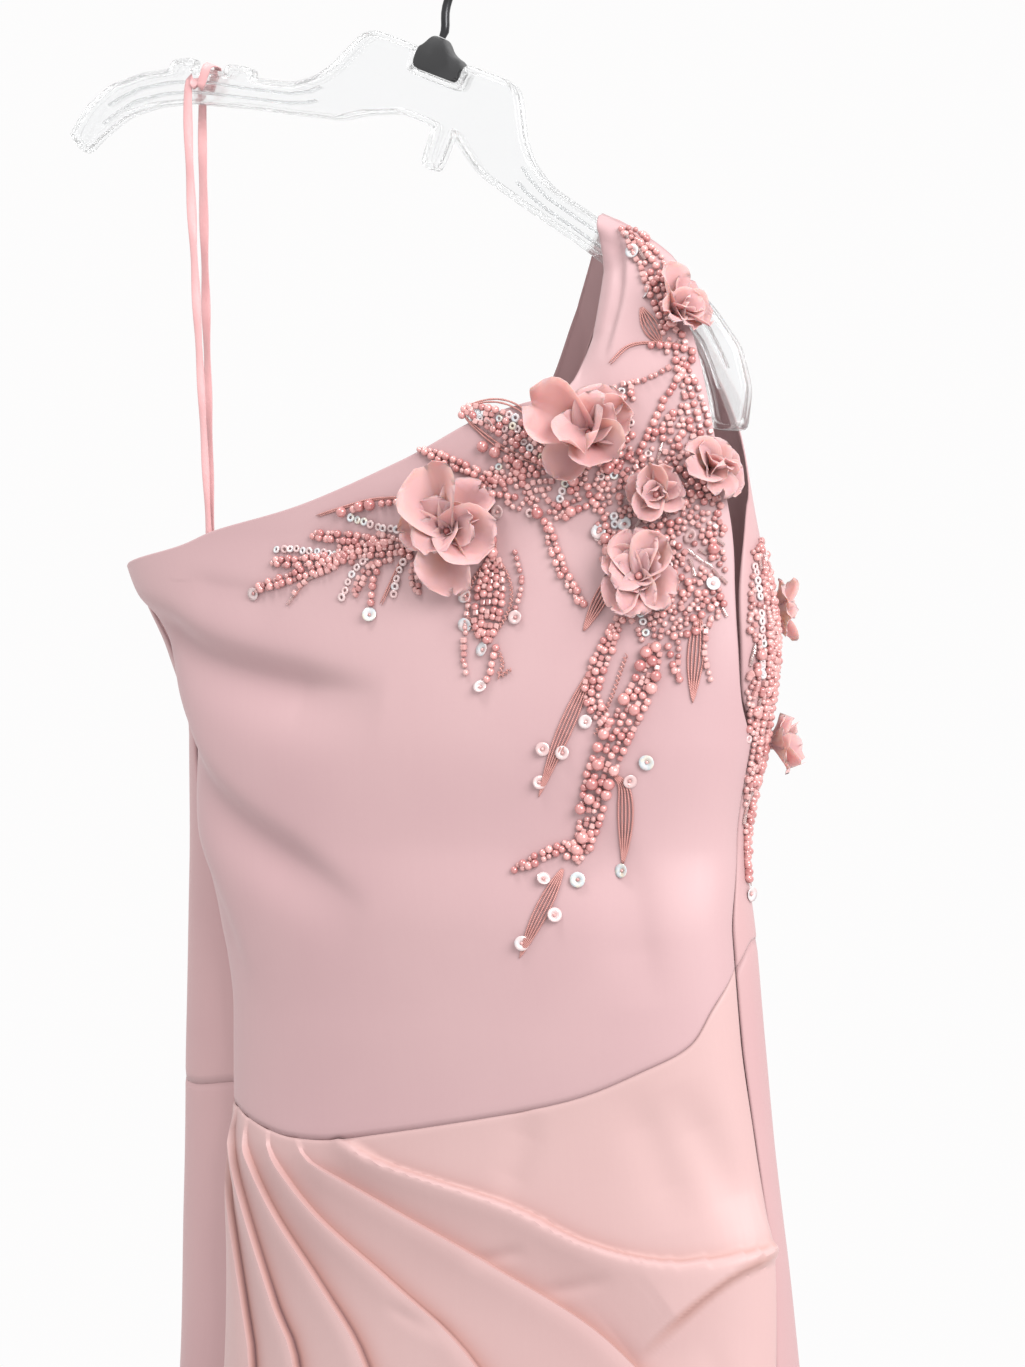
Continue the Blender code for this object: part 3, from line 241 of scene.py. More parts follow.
@dataclass
class DressForm:
    """The wrapped surface that the dress hangs in, and what stands off it.

    A row of sections holds z, left, right, back depth, front depth and both seams' turns in degrees.
    A row of troughs or creases holds depth, half width and line. A row of pleats holds the height
    at its start, middle and end, and the line of its fold.
    """

    hanger: HangerPlan
    front_span: float = 0.36
    back_scale: float = 0.125
    round_power: float = 2.5
    front_power: float = 0.42
    middle_y: float = 0.008
    seam: float = 0.00003
    underarm_z: float = -0.403
    left_top_z: float = -0.3195
    hem_z: float = -1.63
    fold_z: float = -0.72
    low_scale: float = 0.2
    shoulder_radius: float = 0.0092
    strap_slope: float = 0.45
    strap_clear: float = 0.0035
    strap_lean: float = 0.78
    neck_x: float = 0.0858
    shoulder_x: float = 0.1245
    back_wrap: float = radians(25)
    flute: float = 0.014
    back_flutes: int = 5
    overlap: float = 0.0013
    lap_reach: float = 0.006
    lap_height: float = 0.0045
    pleat_lift: float = 1.9
    pleat_foot: float = 0.12
    pleat_run: float = 0.07
    # how strong the painted shade is beside each pleat's fold
    painted_pleat_shade: tuple[float, ...] = (0.5, 0.52, 0.62, 0.85, 1.0, 1.0)
    drape_rise: float = 0.0056
    drape_over: float = 0.005
    drape_under: float = 0.024
    flute_least: float = 0.25
    fold_fade: Ramp = Ramp(-0.72, -0.2)
    strap_start: Ramp = Ramp(-0.345, 0.02)
    rear_start: Ramp = Ramp(0.012, 0.02)
    neck_side: Ramp = Ramp(0.104, -0.016)
    neck_low: Ramp = Ramp(-0.25, 0.03)
    neck_high: Ramp = Ramp(-0.168, -0.02)
    neck_turn: float = 0.01
    roll_z: float = -0.215
    roll_x: float = 0.07
    flute_start: Ramp = Ramp(-0.66, -0.35)
    flute_growth: Ramp = Ramp(-0.66, -0.9)
    back_flute: Ramp = Ramp(-0.62, -0.9)
    dark_growth: Ramp = Ramp(-0.6, -0.07)
    sections: tuple[tuple[float, ...], ...] = (
        (-0.15, -0.19, 0.126, 0.04, 0.04, 15, 6),
        (-0.2, -0.19, 0.1335, 0.04, 0.04, 15, 6),
        (-0.25, -0.19, 0.1468, 0.04, 0.04, 15, 6),
        (-0.305, -0.189, 0.1573, 0.041, 0.04, 16, 6),
        (-0.33, -0.181, 0.1628, 0.041, 0.042, 19, 6),
        (-0.36, -0.1645, 0.166, 0.042, 0.045, 24, 5),
        (-0.403, -0.1505, 0.1605, 0.042, 0.048, 27, 5),
        (-0.45, -0.151, 0.152, 0.038, 0.046, 36, 3),
        (-0.49, -0.1525, 0.157, 0.035, 0.042, 45, 14),
        (-0.535, -0.154, 0.1615, 0.033, 0.038, 51, 15),
        (-0.58, -0.155, 0.166, 0.033, 0.036, 51, 12),
        (-0.64, -0.155, 0.173, 0.038, 0.038, 51, 9),
        (-0.7, -0.154, 0.178, 0.045, 0.042, 52, 12),
        (-0.85, -0.162, 0.193, 0.056, 0.052, 46, 12),
        (-1.1, -0.188, 0.222, 0.073, 0.068, 39, 12),
        (-1.4, -0.226, 0.258, 0.092, 0.086, 34, 12),
        (-1.64, -0.255, 0.288, 0.106, 0.1, 32, 12))
    troughs: Creases = (
        (0.0086, 0.014, ((-0.17, -0.343), (-0.1446, -0.35), (-0.118, -0.362), (-0.085, -0.371),
                          (-0.04, -0.379), (0.0, -0.384))),
        (0.0024, 0.0034, ((0.0962, -0.17), (0.102, -0.1994), (0.0985, -0.2321))),
        (0.0064, 0.013, ((-0.165, -0.38), (-0.14, -0.399), (-0.1142, -0.425), (-0.085, -0.444),
                          (-0.045, -0.464), (-0.008, -0.486))),
        (0.0024, 0.011, ((-0.14, -0.45), (-0.11, -0.48), (-0.085, -0.525))),
        (0.0018, 0.012, ((0.1, -0.44), (0.118, -0.47), (0.126, -0.52))),
        (0.0011, 0.0085, ((-0.12, -0.328), (-0.085, -0.334), (-0.06, -0.342))))
    pleats: tuple[tuple[float, float, float, tuple[Spot, ...]], ...] = (
        (0.0026, 0.0042, 0.002, ((-0.034, -0.587), (-0.003, -0.599), (0.06, -0.6122),
                                  (0.099, -0.627), (0.135, -0.6325), (0.172, -0.6265))),
        (0.0026, 0.0045, 0.006, ((-0.055, -0.589), (-0.0446, -0.6011), (-0.002, -0.6175),
                                  (0.0536, -0.6397), (0.111, -0.6688), (0.141, -0.708),
                                  (0.158, -0.8), (0.172, -1.0), (0.205, -1.64))),
        (0.0026, 0.0045, 0.006, ((-0.0735, -0.587), (-0.0693, -0.6001), (-0.0406, -0.6251),
                                  (0.0045, -0.6519), (0.0495, -0.6827), (0.08, -0.73),
                                  (0.099, -0.83), (0.11, -1.0), (0.13, -1.64))),
        (0.0024, 0.0045, 0.006, ((-0.0879, -0.582), (-0.0874, -0.5986), (-0.066, -0.6263),
                                  (-0.0331, -0.658), (-0.0055, -0.6889), (0.014, -0.74),
                                  (0.026, -0.84), (0.03, -1.0), (0.04, -1.64))),
        (0.0022, 0.0042, 0.0055, ((-0.0975, -0.578), (-0.0989, -0.6005), (-0.0796, -0.6361),
                                  (-0.059, -0.6705), (-0.0438, -0.694), (-0.033, -0.75),
                                  (-0.027, -0.85), (-0.028, -1.0), (-0.045, -1.64))),
        (0.0018, 0.0034, 0.005, ((-0.1035, -0.577), (-0.103, -0.612), (-0.0905, -0.645),
                                  (-0.078, -0.6772), (-0.0712, -0.6985), (-0.066, -0.75),
                                  (-0.064, -0.85), (-0.072, -1.0), (-0.12, -1.64))))
    rear_troughs: Creases = (
        (0.0038, 0.013, ((-0.135, -0.34), (-0.075, -0.362), (0.0, -0.372))),
        (0.0032, 0.013, ((0.14, -0.425), (0.085, -0.45), (0.03, -0.495))),
        (0.0026, 0.011, ((-0.14, -0.445), (-0.085, -0.48), (-0.035, -0.535))),
        (0.0015, 0.009, ((0.06, -0.29), (0.095, -0.33), (0.105, -0.385))))
    rear_creases: Creases = (
        (0.0034, 0.013, ((-0.14, -0.59), (-0.085, -0.645), (-0.055, -0.745))),
        (0.003, 0.012, ((0.15, -0.535), (0.105, -0.6), (0.075, -0.71))),
        (0.0022, 0.011, ((0.02, -0.55), (0.012, -0.64), (0.028, -0.73))),
        (0.003, 0.016, ((-0.1, -0.78), (-0.112, -0.98), (-0.13, -1.25))),
        (0.003, 0.016, ((0.09, -0.83), (0.104, -1.02), (0.128, -1.3))))
    creases: Creases = (
        (0.0009, 0.0035, ((0.044, -0.6395), (0.058, -0.6345), (0.072, -0.6305))),
        (0.001, 0.0035, ((0.078, -0.6495), (0.095, -0.645), (0.112, -0.639))),
        (0.0009, 0.0035, ((0.003, -0.66), (0.02, -0.6665), (0.039, -0.6725))),
        (0.0014, 0.008, ((0.0724, -0.568), (0.0646, -0.5917), (0.0573, -0.6114))),
        (0.002, 0.009, ((0.1352, -0.554), (0.1546, -0.5923), (0.1694, -0.6232))),
        (0.0015, 0.01, ((0.115, -0.556), (0.13, -0.59), (0.138, -0.618))),
        (0.0013, 0.006, ((0.15, -0.66), (0.162, -0.7), (0.168, -0.76))))
    drape: tuple[Spot, ...] = ((0.1725, -0.6265), (0.1595, -0.6348), (0.144, -0.65), (0.132, -0.663),
                               (0.122, -0.6735))
    curves: tuple[Curve, ...] = field(init=False)
    shoulder: Curve = field(init=False)
    pleat_lines: list[Array] = field(init=False)
    drape_line: Array = field(init=False)

    def __post_init__(self) -> None:
        """Works out the curves that the tables stand for."""
        self.curves = tuple(Curve([(row[0], row[k]) for row in self.sections]) for k in range(1, 7))
        arm = (self.hanger.point(self.hanger.reached(a, self.hanger.right_reach), b + self.strap_clear)
               for a, b in self.hanger.top[2:9])
        self.shoulder = Curve([(spot.x, spot.z) for spot in arm])
        self.pleat_lines = [self.flat_line(row[3]) for row in self.pleats]
        self.drape_line = self.flat_line(self.drape)

    def section(self, z: Any) -> list[Array]:
        """Returns: left, right, back depth, front depth and the two seam turns at a height."""
        return [curve(z) for curve in self.curves]

    def ring(self, phi: Array, z: Array) -> tuple[Array, Array]:
        """Returns: x and y of the back half at an angle, before the strap is shaped."""
        left, right, deep, _, _, _ = self.section(z)
        x = (left + right) / 2 + (right - left) / 2 * signed_power(np.cos(phi), 2 / self.round_power)
        return x, self.middle_y + deep * signed_power(np.sin(phi), 2 / self.round_power)

    def left_angle(self, z: Any) -> Array:
        """Returns: the left seam's angle."""
        return pi + np.radians(self.section(z)[4])

    def right_angle(self, z: Any) -> Array:
        """Returns: the right seam's angle."""
        return -np.radians(self.section(z)[5])

    def strap_depth(self, x: Array, z: Array) -> Array:
        """Returns: half the strap's depth: a roll over the hanger's arm, then a slope."""
        down = np.maximum((self.shoulder(x) - z) * self.strap_lean, 0.0)
        low = np.minimum(down - self.shoulder_radius, 0)
        roll = np.sqrt(np.maximum(self.shoulder_radius**2 - low**2, 0))
        return 2 * self.seam + roll + self.strap_slope * np.maximum(down - self.shoulder_radius, 0)

    @staticmethod
    def soft_least(a: Array, b: Array, reach: float = 0.006) -> Array:
        """Returns: the smaller of two depths, rounded where they cross."""
        near = np.maximum(reach - np.abs(a - b), 0) / reach
        return np.minimum(a, b) - near**2 * reach / 4

    def front_share(self, x: Any, z: Any) -> Array:
        """Returns: the drawing-frame p of a front point given as (x, z)."""
        left, right = self.ring(self.left_angle(z), z)[0], self.ring(self.right_angle(z), z)[0]
        return self.front_span * np.arccos(1 - 2 * clip01((np.asarray(x) - left) / (right - left))) / pi

    def front_base(self, p: Array, z: Array) -> Array:
        """Returns: points of the smooth front surface."""
        (xl, yl), (xr, yr) = self.ring(self.left_angle(z), z), self.ring(self.right_angle(z), z)
        q = (1 - np.cos(pi * clip01(p / self.front_span))) / 2
        x = xl + (xr - xl) * q
        y = yl + (yr - yl) * q - self.section(z)[3] * np.maximum(4 * q * (1 - q), 0) ** self.front_power
        strap = -self.soft_least(-y, self.strap_depth(x, z))
        return np.stack((x, y + (strap - y) * self.strap_start.eased(z), z), axis=-1)

    def back_base(self, p: Array, z: Array) -> Array:
        """Returns: points of the smooth back surface."""
        x, y = self.ring(-p / self.back_scale, z)
        strap = np.where(y > 0, self.soft_least(y, self.strap_depth(x, z)), y)
        return np.stack((x, y + (strap - y) * self.strap_start.eased(z), z), axis=-1)

    def back_share(self, x: Any, z: Any) -> Array:
        """Returns: the drawing-frame p of a point on the rear given as (x, z)."""
        left, right = self.section(z)[:2]
        share = np.clip((x - (left + right) / 2) / ((right - left) / 2), -1, 1)
        return -np.arccos(signed_power(share, self.round_power / 2)) * self.back_scale

    @staticmethod
    def facing(base: Callable[[Array, Array], Array], p: Array, z: Array, low: Array,
               high: Array) -> Array:
        """Returns: unit normals of a base surface, by small steps in the drawing frame."""
        step = 0.0006
        across = base(np.minimum(p + step, high), z) - base(np.maximum(p - step, low), z)
        cross = np.cross(across, base(p, z + step) - base(p, z - step))
        return cross / np.linalg.norm(cross, axis=-1, keepdims=True)

    def front_facing(self, p: Array, z: Array) -> Array:
        """Returns: outward unit normals of the smooth front."""
        return self.facing(self.front_base, p, z, 0 * z, 0 * z + self.front_span)

    def back_facing(self, p: Array, z: Array) -> Array:
        """Returns: outward unit normals of the smooth back."""
        wrap = np.where(z > self.underarm_z, self.back_wrap, 0)
        return -self.facing(self.back_base, p, z, -self.left_angle(z) * self.back_scale,
                            (-self.right_angle(z) + wrap) * self.back_scale)

    def squeeze(self, z: Any) -> Array:
        """Returns: the drawing-frame height of z: true size above the fold line, squeezed below."""
        return np.where(z > self.fold_z, z, self.fold_z + (z - self.fold_z) * self.low_scale)

    def released(self, q: Any) -> Array:
        """Returns: the true height of a drawing-frame height."""
        return np.where(q > self.fold_z, q, self.fold_z + (q - self.fold_z) / self.low_scale)

    def flat_line(self, points: Sequence[Spot]) -> Array:
        """Returns: a front line given in (x, z), in the squeezed drawing frame."""
        dense = smooth_line(points, 0.004)
        flat = np.stack((self.front_share(dense[:, 0], dense[:, 1]), self.squeeze(dense[:, 1])), axis=-1)
        along = travelled(flat)
        spots = np.linspace(0, along[-1], ceil(along[-1] / 0.008) + 1)
        return np.stack([np.interp(spots, along, flat[:, k]) for k in (0, 1)], axis=-1)

    @staticmethod
    def pressed(creases: Creases, x: Array, z: Array, skew: float = 0.0) -> Array:
        """How far soft creases press into the cloth.

        Args:
            creases: rows of depth, half width and line.
            x: across the dress.
            z: height.
            skew: how much wider each is towards its line's lower left.
        Returns:
            The depth at each point.
        """
        total = np.zeros(np.shape(x))
        for deep, half, points in creases:
            gap, share, _ = side_of_line(x, z, crease_line(points))
            wide = half * (1 + skew * np.sign(gap))
            ends = clip01(3.5 * np.minimum(share + 0.1 * (skew > 0), 1 - share))
            total += deep * np.exp(-(gap / wide) ** 2) * ends
        return total

    def strap_turn(self, x: Array, z: Array) -> Array:
        """Returns: how far the strap's neck edge turns back towards the body."""
        return self.neck_turn * self.neck_side(x)**1.5 * (self.neck_low(z) * self.neck_high(z))

    def on_roll(self, points: Array) -> Array:
        """Returns: which points lie where the strap rolls over the hanger's arm."""
        return (points[..., 2] > self.roll_z) & (points[..., 0] > self.roll_x)

    def bodice_front(self, p: Array, z: Array) -> tuple[Array, Array]:
        """Returns: outer points and normals of the bodice front."""
        base, facing = self.front_base(p, z), self.front_facing(p, z)
        outer = base - facing * self.pressed(self.troughs, base[..., 0], z, 0.36)[..., None]
        outer[..., 1] += self.strap_turn(base[..., 0], z)
        front = np.minimum(outer[..., 1], -self.seam)
        outer[..., 1] = np.where(self.on_roll(outer), front, outer[..., 1])
        return outer, facing

    def bodice_back(self, p: Array, z: Array) -> tuple[Array, Array]:
        """Returns: outer points and normals of the bodice back."""
        base, facing = self.back_base(p, z), self.back_facing(p, z)
        deep = self.pressed(self.rear_troughs, base[..., 0], z, 0.3)[..., None]
        outer = base - facing * deep * self.rear_start(base[..., 1:2])
        rear = np.maximum(outer[..., 1], self.seam)
        outer[..., 1] = np.where(self.on_roll(outer), rear, outer[..., 1])
        return outer, facing

    def flute_wave(self, p: Array, z: Array, gaps: list[Array]) -> Array:
        """Returns: the soft hem folds between the pleat lines, from 0 to 1."""
        q = self.squeeze(z)
        wave = np.zeros(np.shape(p))
        for k, gap in enumerate(gaps):
            left = p if k == len(gaps) - 1 else -gaps[k + 1]
            inside = (gap > 0) & (left >= 0)
            share = np.where(inside, left / np.maximum(left + gap, 1e-6), 0)
            wave = np.where(inside, 0.5 - 0.5 * np.cos(2 * pi * share), wave)
        beyond = (gaps[1] < 0) & (q < self.fold_z)
        share = clip01(-gaps[1] / np.maximum(self.front_span - p - gaps[1], 1e-6))
        return np.where(beyond, 0.5 - 0.5 * np.cos(2 * pi * share), wave)

    def skirt_front(self, p: Array, z: Array) -> tuple[Array, Array]:
        """Returns: outer points and normals of the skirt front with its pleats and flutes."""
        q = self.squeeze(z)
        sharp = 1 - self.fold_fade(z)
        sides = [side_of_line(p, q, line) for line in self.pleat_lines]
        rise = np.zeros(np.shape(p))
        lap = np.zeros((*np.shape(p), 2))
        for k, ((start, middle, end, _), (gap, t, normal)) in enumerate(zip(self.pleats, sides)):
            crest = start + (middle - start) * clip01(2 * t) + (end - middle) * clip01(2 * t - 1)
            crest = crest * sharp * self.pleat_lift * clip01(self.pleat_foot + t / self.pleat_run)
            left = p if k == len(sides) - 1 else -sides[k + 1][0]
            inside = (gap >= -0.0002) & (left >= -0.00005)
            share = np.where(inside, np.maximum(left, 0) / np.maximum(left + np.maximum(gap, 0), 1e-6), 0)
            rounded = 1 - 0.1 * np.exp(-np.maximum(gap, 0) / 0.0016)
            rise = np.where(inside, np.maximum(rise, crest * share**1.7 * rounded), rise)
            near = np.where(inside, clip01(1 - gap / self.lap_reach) ** 2 * crest / self.lap_height, 0)
            lap = lap - normal * (near * self.overlap)[..., None]
        gap, share, _ = side_of_line(p, q, self.drape_line)
        ends = clip01(6 * share + 0.4) * clip01(4 * (1 - share))
        over, under = clip01(1 - np.abs(gap) / self.drape_over), np.exp(-(gap / self.drape_under) ** 2)
        rise = rise + self.drape_rise * ends * np.where(gap < 0, over, under) * (np.abs(gap) < 0.06)
        from_seam = np.minimum(p, self.front_span - p)
        fade, edge = clip01(from_seam / 0.006), clip01(from_seam / 0.018)
        flute = self.flute * self.flute_start(z) * np.maximum(self.flute_growth(z), self.flute_least)
        wave = self.flute_wave(p, z, [side[0] for side in sides])
        height = rise * (0.35 + 0.65 * fade) + flute * wave * fade
        height = height - self.pressed(self.creases, self.front_base(p, z)[..., 0], z) * edge
        facing = self.front_facing(p, z)
        p, z = np.clip(p + lap[..., 0], 0, self.front_span), z + lap[..., 1]
        return self.front_base(p, z) + facing * height[..., None], facing

    def snap_to_pleats(self, p: Array, z: Array) -> tuple[Array, Array]:
        """Returns: drawing-frame points, those beside the first pleat on its fold or its foot."""
        q = self.squeeze(z)
        gap, share, normal = side_of_line(p, q, self.pleat_lines[0])
        reach = 0.5 * (np.abs(np.gradient(gap, axis=0)) + np.abs(np.gradient(gap, axis=1)))
        live = (share > 0.0) & (share < 1.0) & (q > self.fold_z - 0.03)
        live &= (p > 0.0) & (p < self.front_span)
        live[0] = False
        goal = np.where(np.abs(gap) <= reach * 1.001, 0.0,
                        np.where((gap > -2.1 * reach) & (gap < 0), -0.0015, gap))
        move = np.where(live & (np.abs(goal - gap) < 0.003), goal - gap, 0.0)
        return p + normal[..., 0] * move, self.released(q + normal[..., 1] * move)

    def pleat_shade(self, p: Array, z: Array) -> Array:
        """Returns: how deep in a pleat's painted shade each point lies, from 0 to 1, beside each fold and
        along the drape line.
        """
        q = self.squeeze(z)
        shade = np.zeros(np.shape(p))
        fade = 1 - self.fold_fade(z)
        for deepest, line in zip(self.painted_pleat_shade, self.pleat_lines):
            gap, share, _ = side_of_line(p, q, line)
            strength = deepest * (0.6 + 0.4 * self.dark_growth(z))
            dark = np.where(gap < -0.0003, np.exp((gap + 0.0014) / 0.003), 0)
            shade = np.maximum(shade, np.minimum(dark, 1.0) * fade * clip01(share * 12) * strength)
        gap, share, _ = side_of_line(p, q, self.drape_line)
        dark = np.exp(-((gap + 0.0016) / np.where(gap < -0.0016, 0.003, 0.002)) ** 2)
        return np.maximum(shade, 0.55 * dark * clip01(4 * share) * clip01(3.5 * (1 - share)))

    def pleat_near(self, p: Array, z: Array) -> Array:
        """Returns: 1 beside a pleat's fold, falling to 0 away from it."""
        q = self.squeeze(z)
        first, *rest = [np.abs(side_of_line(p, q, line)[0]) for line in self.pleat_lines]
        return np.maximum(clip01(2 - first / 0.003), 0.06 * clip01(2 - np.min(rest, axis=0) / 0.003))

    def skirt_back(self, p: Array, z: Array) -> tuple[Array, Array]:
        """Returns: outer points and normals of the skirt back with its hem folds."""
        left, right = self.left_angle(z), self.right_angle(z)
        share = (left + p / self.back_scale) / (left - right)
        turns = 2 * pi * self.back_flutes * share
        wave = self.flute * self.back_flute(z) * (0.5 - 0.5 * np.cos(turns))
        base, facing = self.back_base(p, z), self.back_facing(p, z)
        deep = self.pressed(self.rear_creases, base[..., 0], z, 0.25)
        wave = wave - deep * self.rear_start(base[..., 1])
        return base + facing * wave[..., None], facing

    def front_seats(self, spots: Array) -> tuple[Array, Array]:
        """Returns: the cloth's points and normals at rows of (x, z) on the bodice front."""
        spots = np.atleast_2d(np.asarray(spots, dtype=float))
        return self.bodice_front(self.front_share(spots[:, 0], spots[:, 1]), spots[:, 1])

    def back_seats(self, spots: Array) -> tuple[Array, Array]:
        """Returns: the cloth's points and normals at rows of (degrees / 100, z) on the bodice back."""
        spots = np.atleast_2d(np.asarray(spots, dtype=float))
        return self.bodice_back(-np.radians(spots[:, 0] * 100) * self.back_scale, spots[:, 1])


class Value:
    """One number socket of a shader, with arithmetic that adds Math nodes."""

    def __init__(self, shop: "Shop", socket: bpy.types.NodeSocket) -> None:
        """Args: shop: what makes nodes; socket: the output that this stands for."""
        self.shop, self.socket = shop, socket

    def _math(self, operation: str, *numbers: Any) -> "Value":
        """Returns: the result of one Math node."""
        inputs = dict(enumerate(numbers))
        return self.shop.node("ShaderNodeMath", {"operation": operation}, inputs)[0]

    def __add__(self, other: Any) -> "Value":
        """Returns: the sum."""
        return self._math("ADD", self, other)

    __radd__ = __add__

    def __sub__(self, other: Any) -> "Value":
        """Returns: the difference."""
        return self._math("SUBTRACT", self, other)

    def __rsub__(self, other: Any) -> "Value":
        """Returns: the difference the other way round."""
        return self._math("SUBTRACT", other, self)

    def __mul__(self, other: Any) -> "Value":
        """Returns: the product."""
        return self._math("MULTIPLY", self, other)

    def __pow__(self, other: Any) -> "Value":
        """Returns: the power."""
        return self._math("POWER", self, other)

    def sine(self) -> "Value":
        """Returns: the sine."""
        return self._math("SINE", self)

    def size(self) -> "Value":
        """Returns: the value with its sign dropped."""
        return self._math("ABSOLUTE", self)

    def between(self, low: float, high: float) -> "Value":
        """Returns: 0 at low and 1 at high, held between them."""
        inputs = {0: self, 1: low, 2: high, 3: 0.0, 4: 1.0}
        return self.shop.node("ShaderNodeMapRange", {"clamp": True}, inputs)[0]


class Shop:
    """Makes the nodes of one material."""

    def __init__(self, name: str) -> None:
        """Args: name: the material's name."""
        self.material = bpy.data.materials.new(name)
        self.material.use_nodes = True
        self.tree = self.material.node_tree
        self.shader = self.tree.nodes["Principled BSDF"]

    def node(self, kind: str, settings: dict[str, Any] | None = None,
             inputs: dict[Any, Any] | None = None) -> list[Value]:
        """Adds one node.

        Args:
            kind: the node's type.
            settings: properties to set first; a ramp's stops are given as "stops".
            inputs: socket name or number to a Value or a constant.
        Returns:
            The node's outputs.
        """
        made = self.tree.nodes.new(kind)
        for key, value in (settings or {}).items():
            if key == "stops":
                ramp = made.color_ramp
                while len(ramp.elements) < len(value):
                    ramp.elements.new(0.5)
                for element, (place, colour) in zip(ramp.elements, value):
                    element.position, element.color = place, (*colour, 1.0)
            else:
                setattr(made, key, value)
        for key, value in (inputs or {}).items():
            self.feed(made.inputs[key], value)
        return [Value(self, socket) for socket in made.outputs]

    def feed(self, socket: bpy.types.NodeSocket, value: Any) -> None:
        """Links a Value to a socket, or sets the constant on it."""
        if isinstance(value, Value):
            self.tree.links.new(value.socket, socket)
        elif isinstance(value, tuple) and len(value) == 3 and socket.type == "RGBA":
            socket.default_value = (*value, 1.0)
        else:
            socket.default_value = value

    def mix(self, share: Any, first: Any, second: Any) -> Value:
        """Returns: a colour between two."""
        return self.node("ShaderNodeMix", {"data_type": "RGBA"}, {0: share, 6: first, 7: second})[2]

    def attribute(self, name: str) -> Value:
        """Returns: a number stored on the piece's points."""
        return self.node("ShaderNodeAttribute", {"attribute_name": name})[2]

    def cloth_map(self) -> Value:
        """Returns: the piece's own cloth coordinates, in metres of cloth."""
        return self.node("ShaderNodeUVMap", {"uv_map": "cloth"})[0]

    def place(self) -> Value:
        """Returns: object coordinates, in metres."""
        return self.node("ShaderNodeTexCoord")[3]

    def parts(self, vector: Value) -> list[Value]:
        """Returns: the three numbers of a vector."""
        return self.node("ShaderNodeSeparateXYZ", None, {0: vector})

    def noise(self, vector: Value, scale: float, detail: float) -> Value:
        """Returns: a noise value at a scale per metre."""
        return self.node("ShaderNodeTexNoise", None,
                         {"Vector": vector, "Scale": scale, "Detail": detail})[0]

    def stretched(self, vector: Value, scale: tuple[float, float, float]) -> Value:
        """Returns: coordinates stretched by a scale."""
        return self.node("ShaderNodeMapping", None, {"Vector": vector, "Scale": scale})[0]

    def bump(self, height: Value, distance: float, strength: float) -> Value:
        """Returns: a normal from a height of up to distance metres."""
        return self.node("ShaderNodeBump", None,
                         {"Height": height, "Distance": distance, "Strength": strength})[0]

    def set(self, **inputs: Any) -> None:
        """Feeds the shader's sockets; an underscore stands for a space."""
        for key, value in inputs.items():
            self.feed(self.shader.inputs[key.replace("_", " ")], value)


def darker(colour: Colour, share: float) -> Colour:
    """Returns: a colour brought down to a share of itself."""
    return tuple(share * part for part in colour)


@dataclass(frozen=True)
class SatinCrepe:
    """Satin-backed crepe: a soft sheen over a very fine grain, with paler and greyer drifts, and painted
    shade in the pleat folds and along rolled-in edges.
    """

    name: str
    light: Colour
    shade: Colour
    roughness: float = 0.47
    sheen: float = 0.14
    # painted shade colours for the pleats: a warm one where the shade is faint, a deep one in the darkest
    # valleys
    painted_warm_shade: Colour = (0.39, 0.21, 0.182)
    painted_valley_shade: Colour = (0.11, 0.052, 0.058)

    def make(self) -> bpy.types.Material:
        """Returns: the cloth material, with its grain, drifts, painted pleat shade and a seam line of
        painted shade where the edges roll in.
        """
        shop = Shop(self.name)
        cloth, place = shop.cloth_map(), shop.place()
        across, down, _ = shop.parts(cloth)
        drift = shop.noise(place, 7.0, 3.0)
        fine = shop.noise(shop.stretched(cloth, (1.0, 0.35, 1.0)), 900.0, 2.0)
        slub = shop.noise(shop.stretched(cloth, (1.0, 0.06, 1.0)), 420.0, 2.0)
        warp = (across * (2 * pi / 0.00042)).sine()
        weft = ((down + across * 0.35) * (2 * pi / 0.00036)).sine()
        weave = warp * weft * 0.5 + 0.5
        fold = shop.attribute("fold")
        seam = shop.attribute("seam")
        tone = drift.between(0.35, 0.7) * 0.55 + fine * 0.1 + slub * 0.12 - 0.06
        colour = shop.mix(tone, self.light, self.shade)
        # painted pleat shade from the fold attribute: warm where it is faint, deep where it is strongest
        colour = shop.mix(fold.between(0.02, 0.5) * 0.8, colour, self.painted_warm_shade)
        colour = shop.mix(fold.between(0.4, 1.0) * 0.85, colour, self.painted_valley_shade)
        # painted shade along the seams and edges: darker where the panel's edge rolls in
        colour = shop.mix(seam.between(0.0, 1.0) * 0.22, colour, darker(self.shade, 0.72))
        rough = self.roughness + (slub - 0.5) * 0.1 + (weave - 0.5) * 0.03
        height = weave * 0.3 + fine * 0.3 + slub * 0.4
        shop.set(Base_Color=colour, Roughness=rough, Normal=shop.bump(height, 0.00006, 0.5),
                 Specular_IOR_Level=0.3, Sheen_Weight=self.sheen, Sheen_Roughness=0.45,
                 Sheen_Tint=(1.0, 0.86, 0.86, 1.0))
        return shop.material


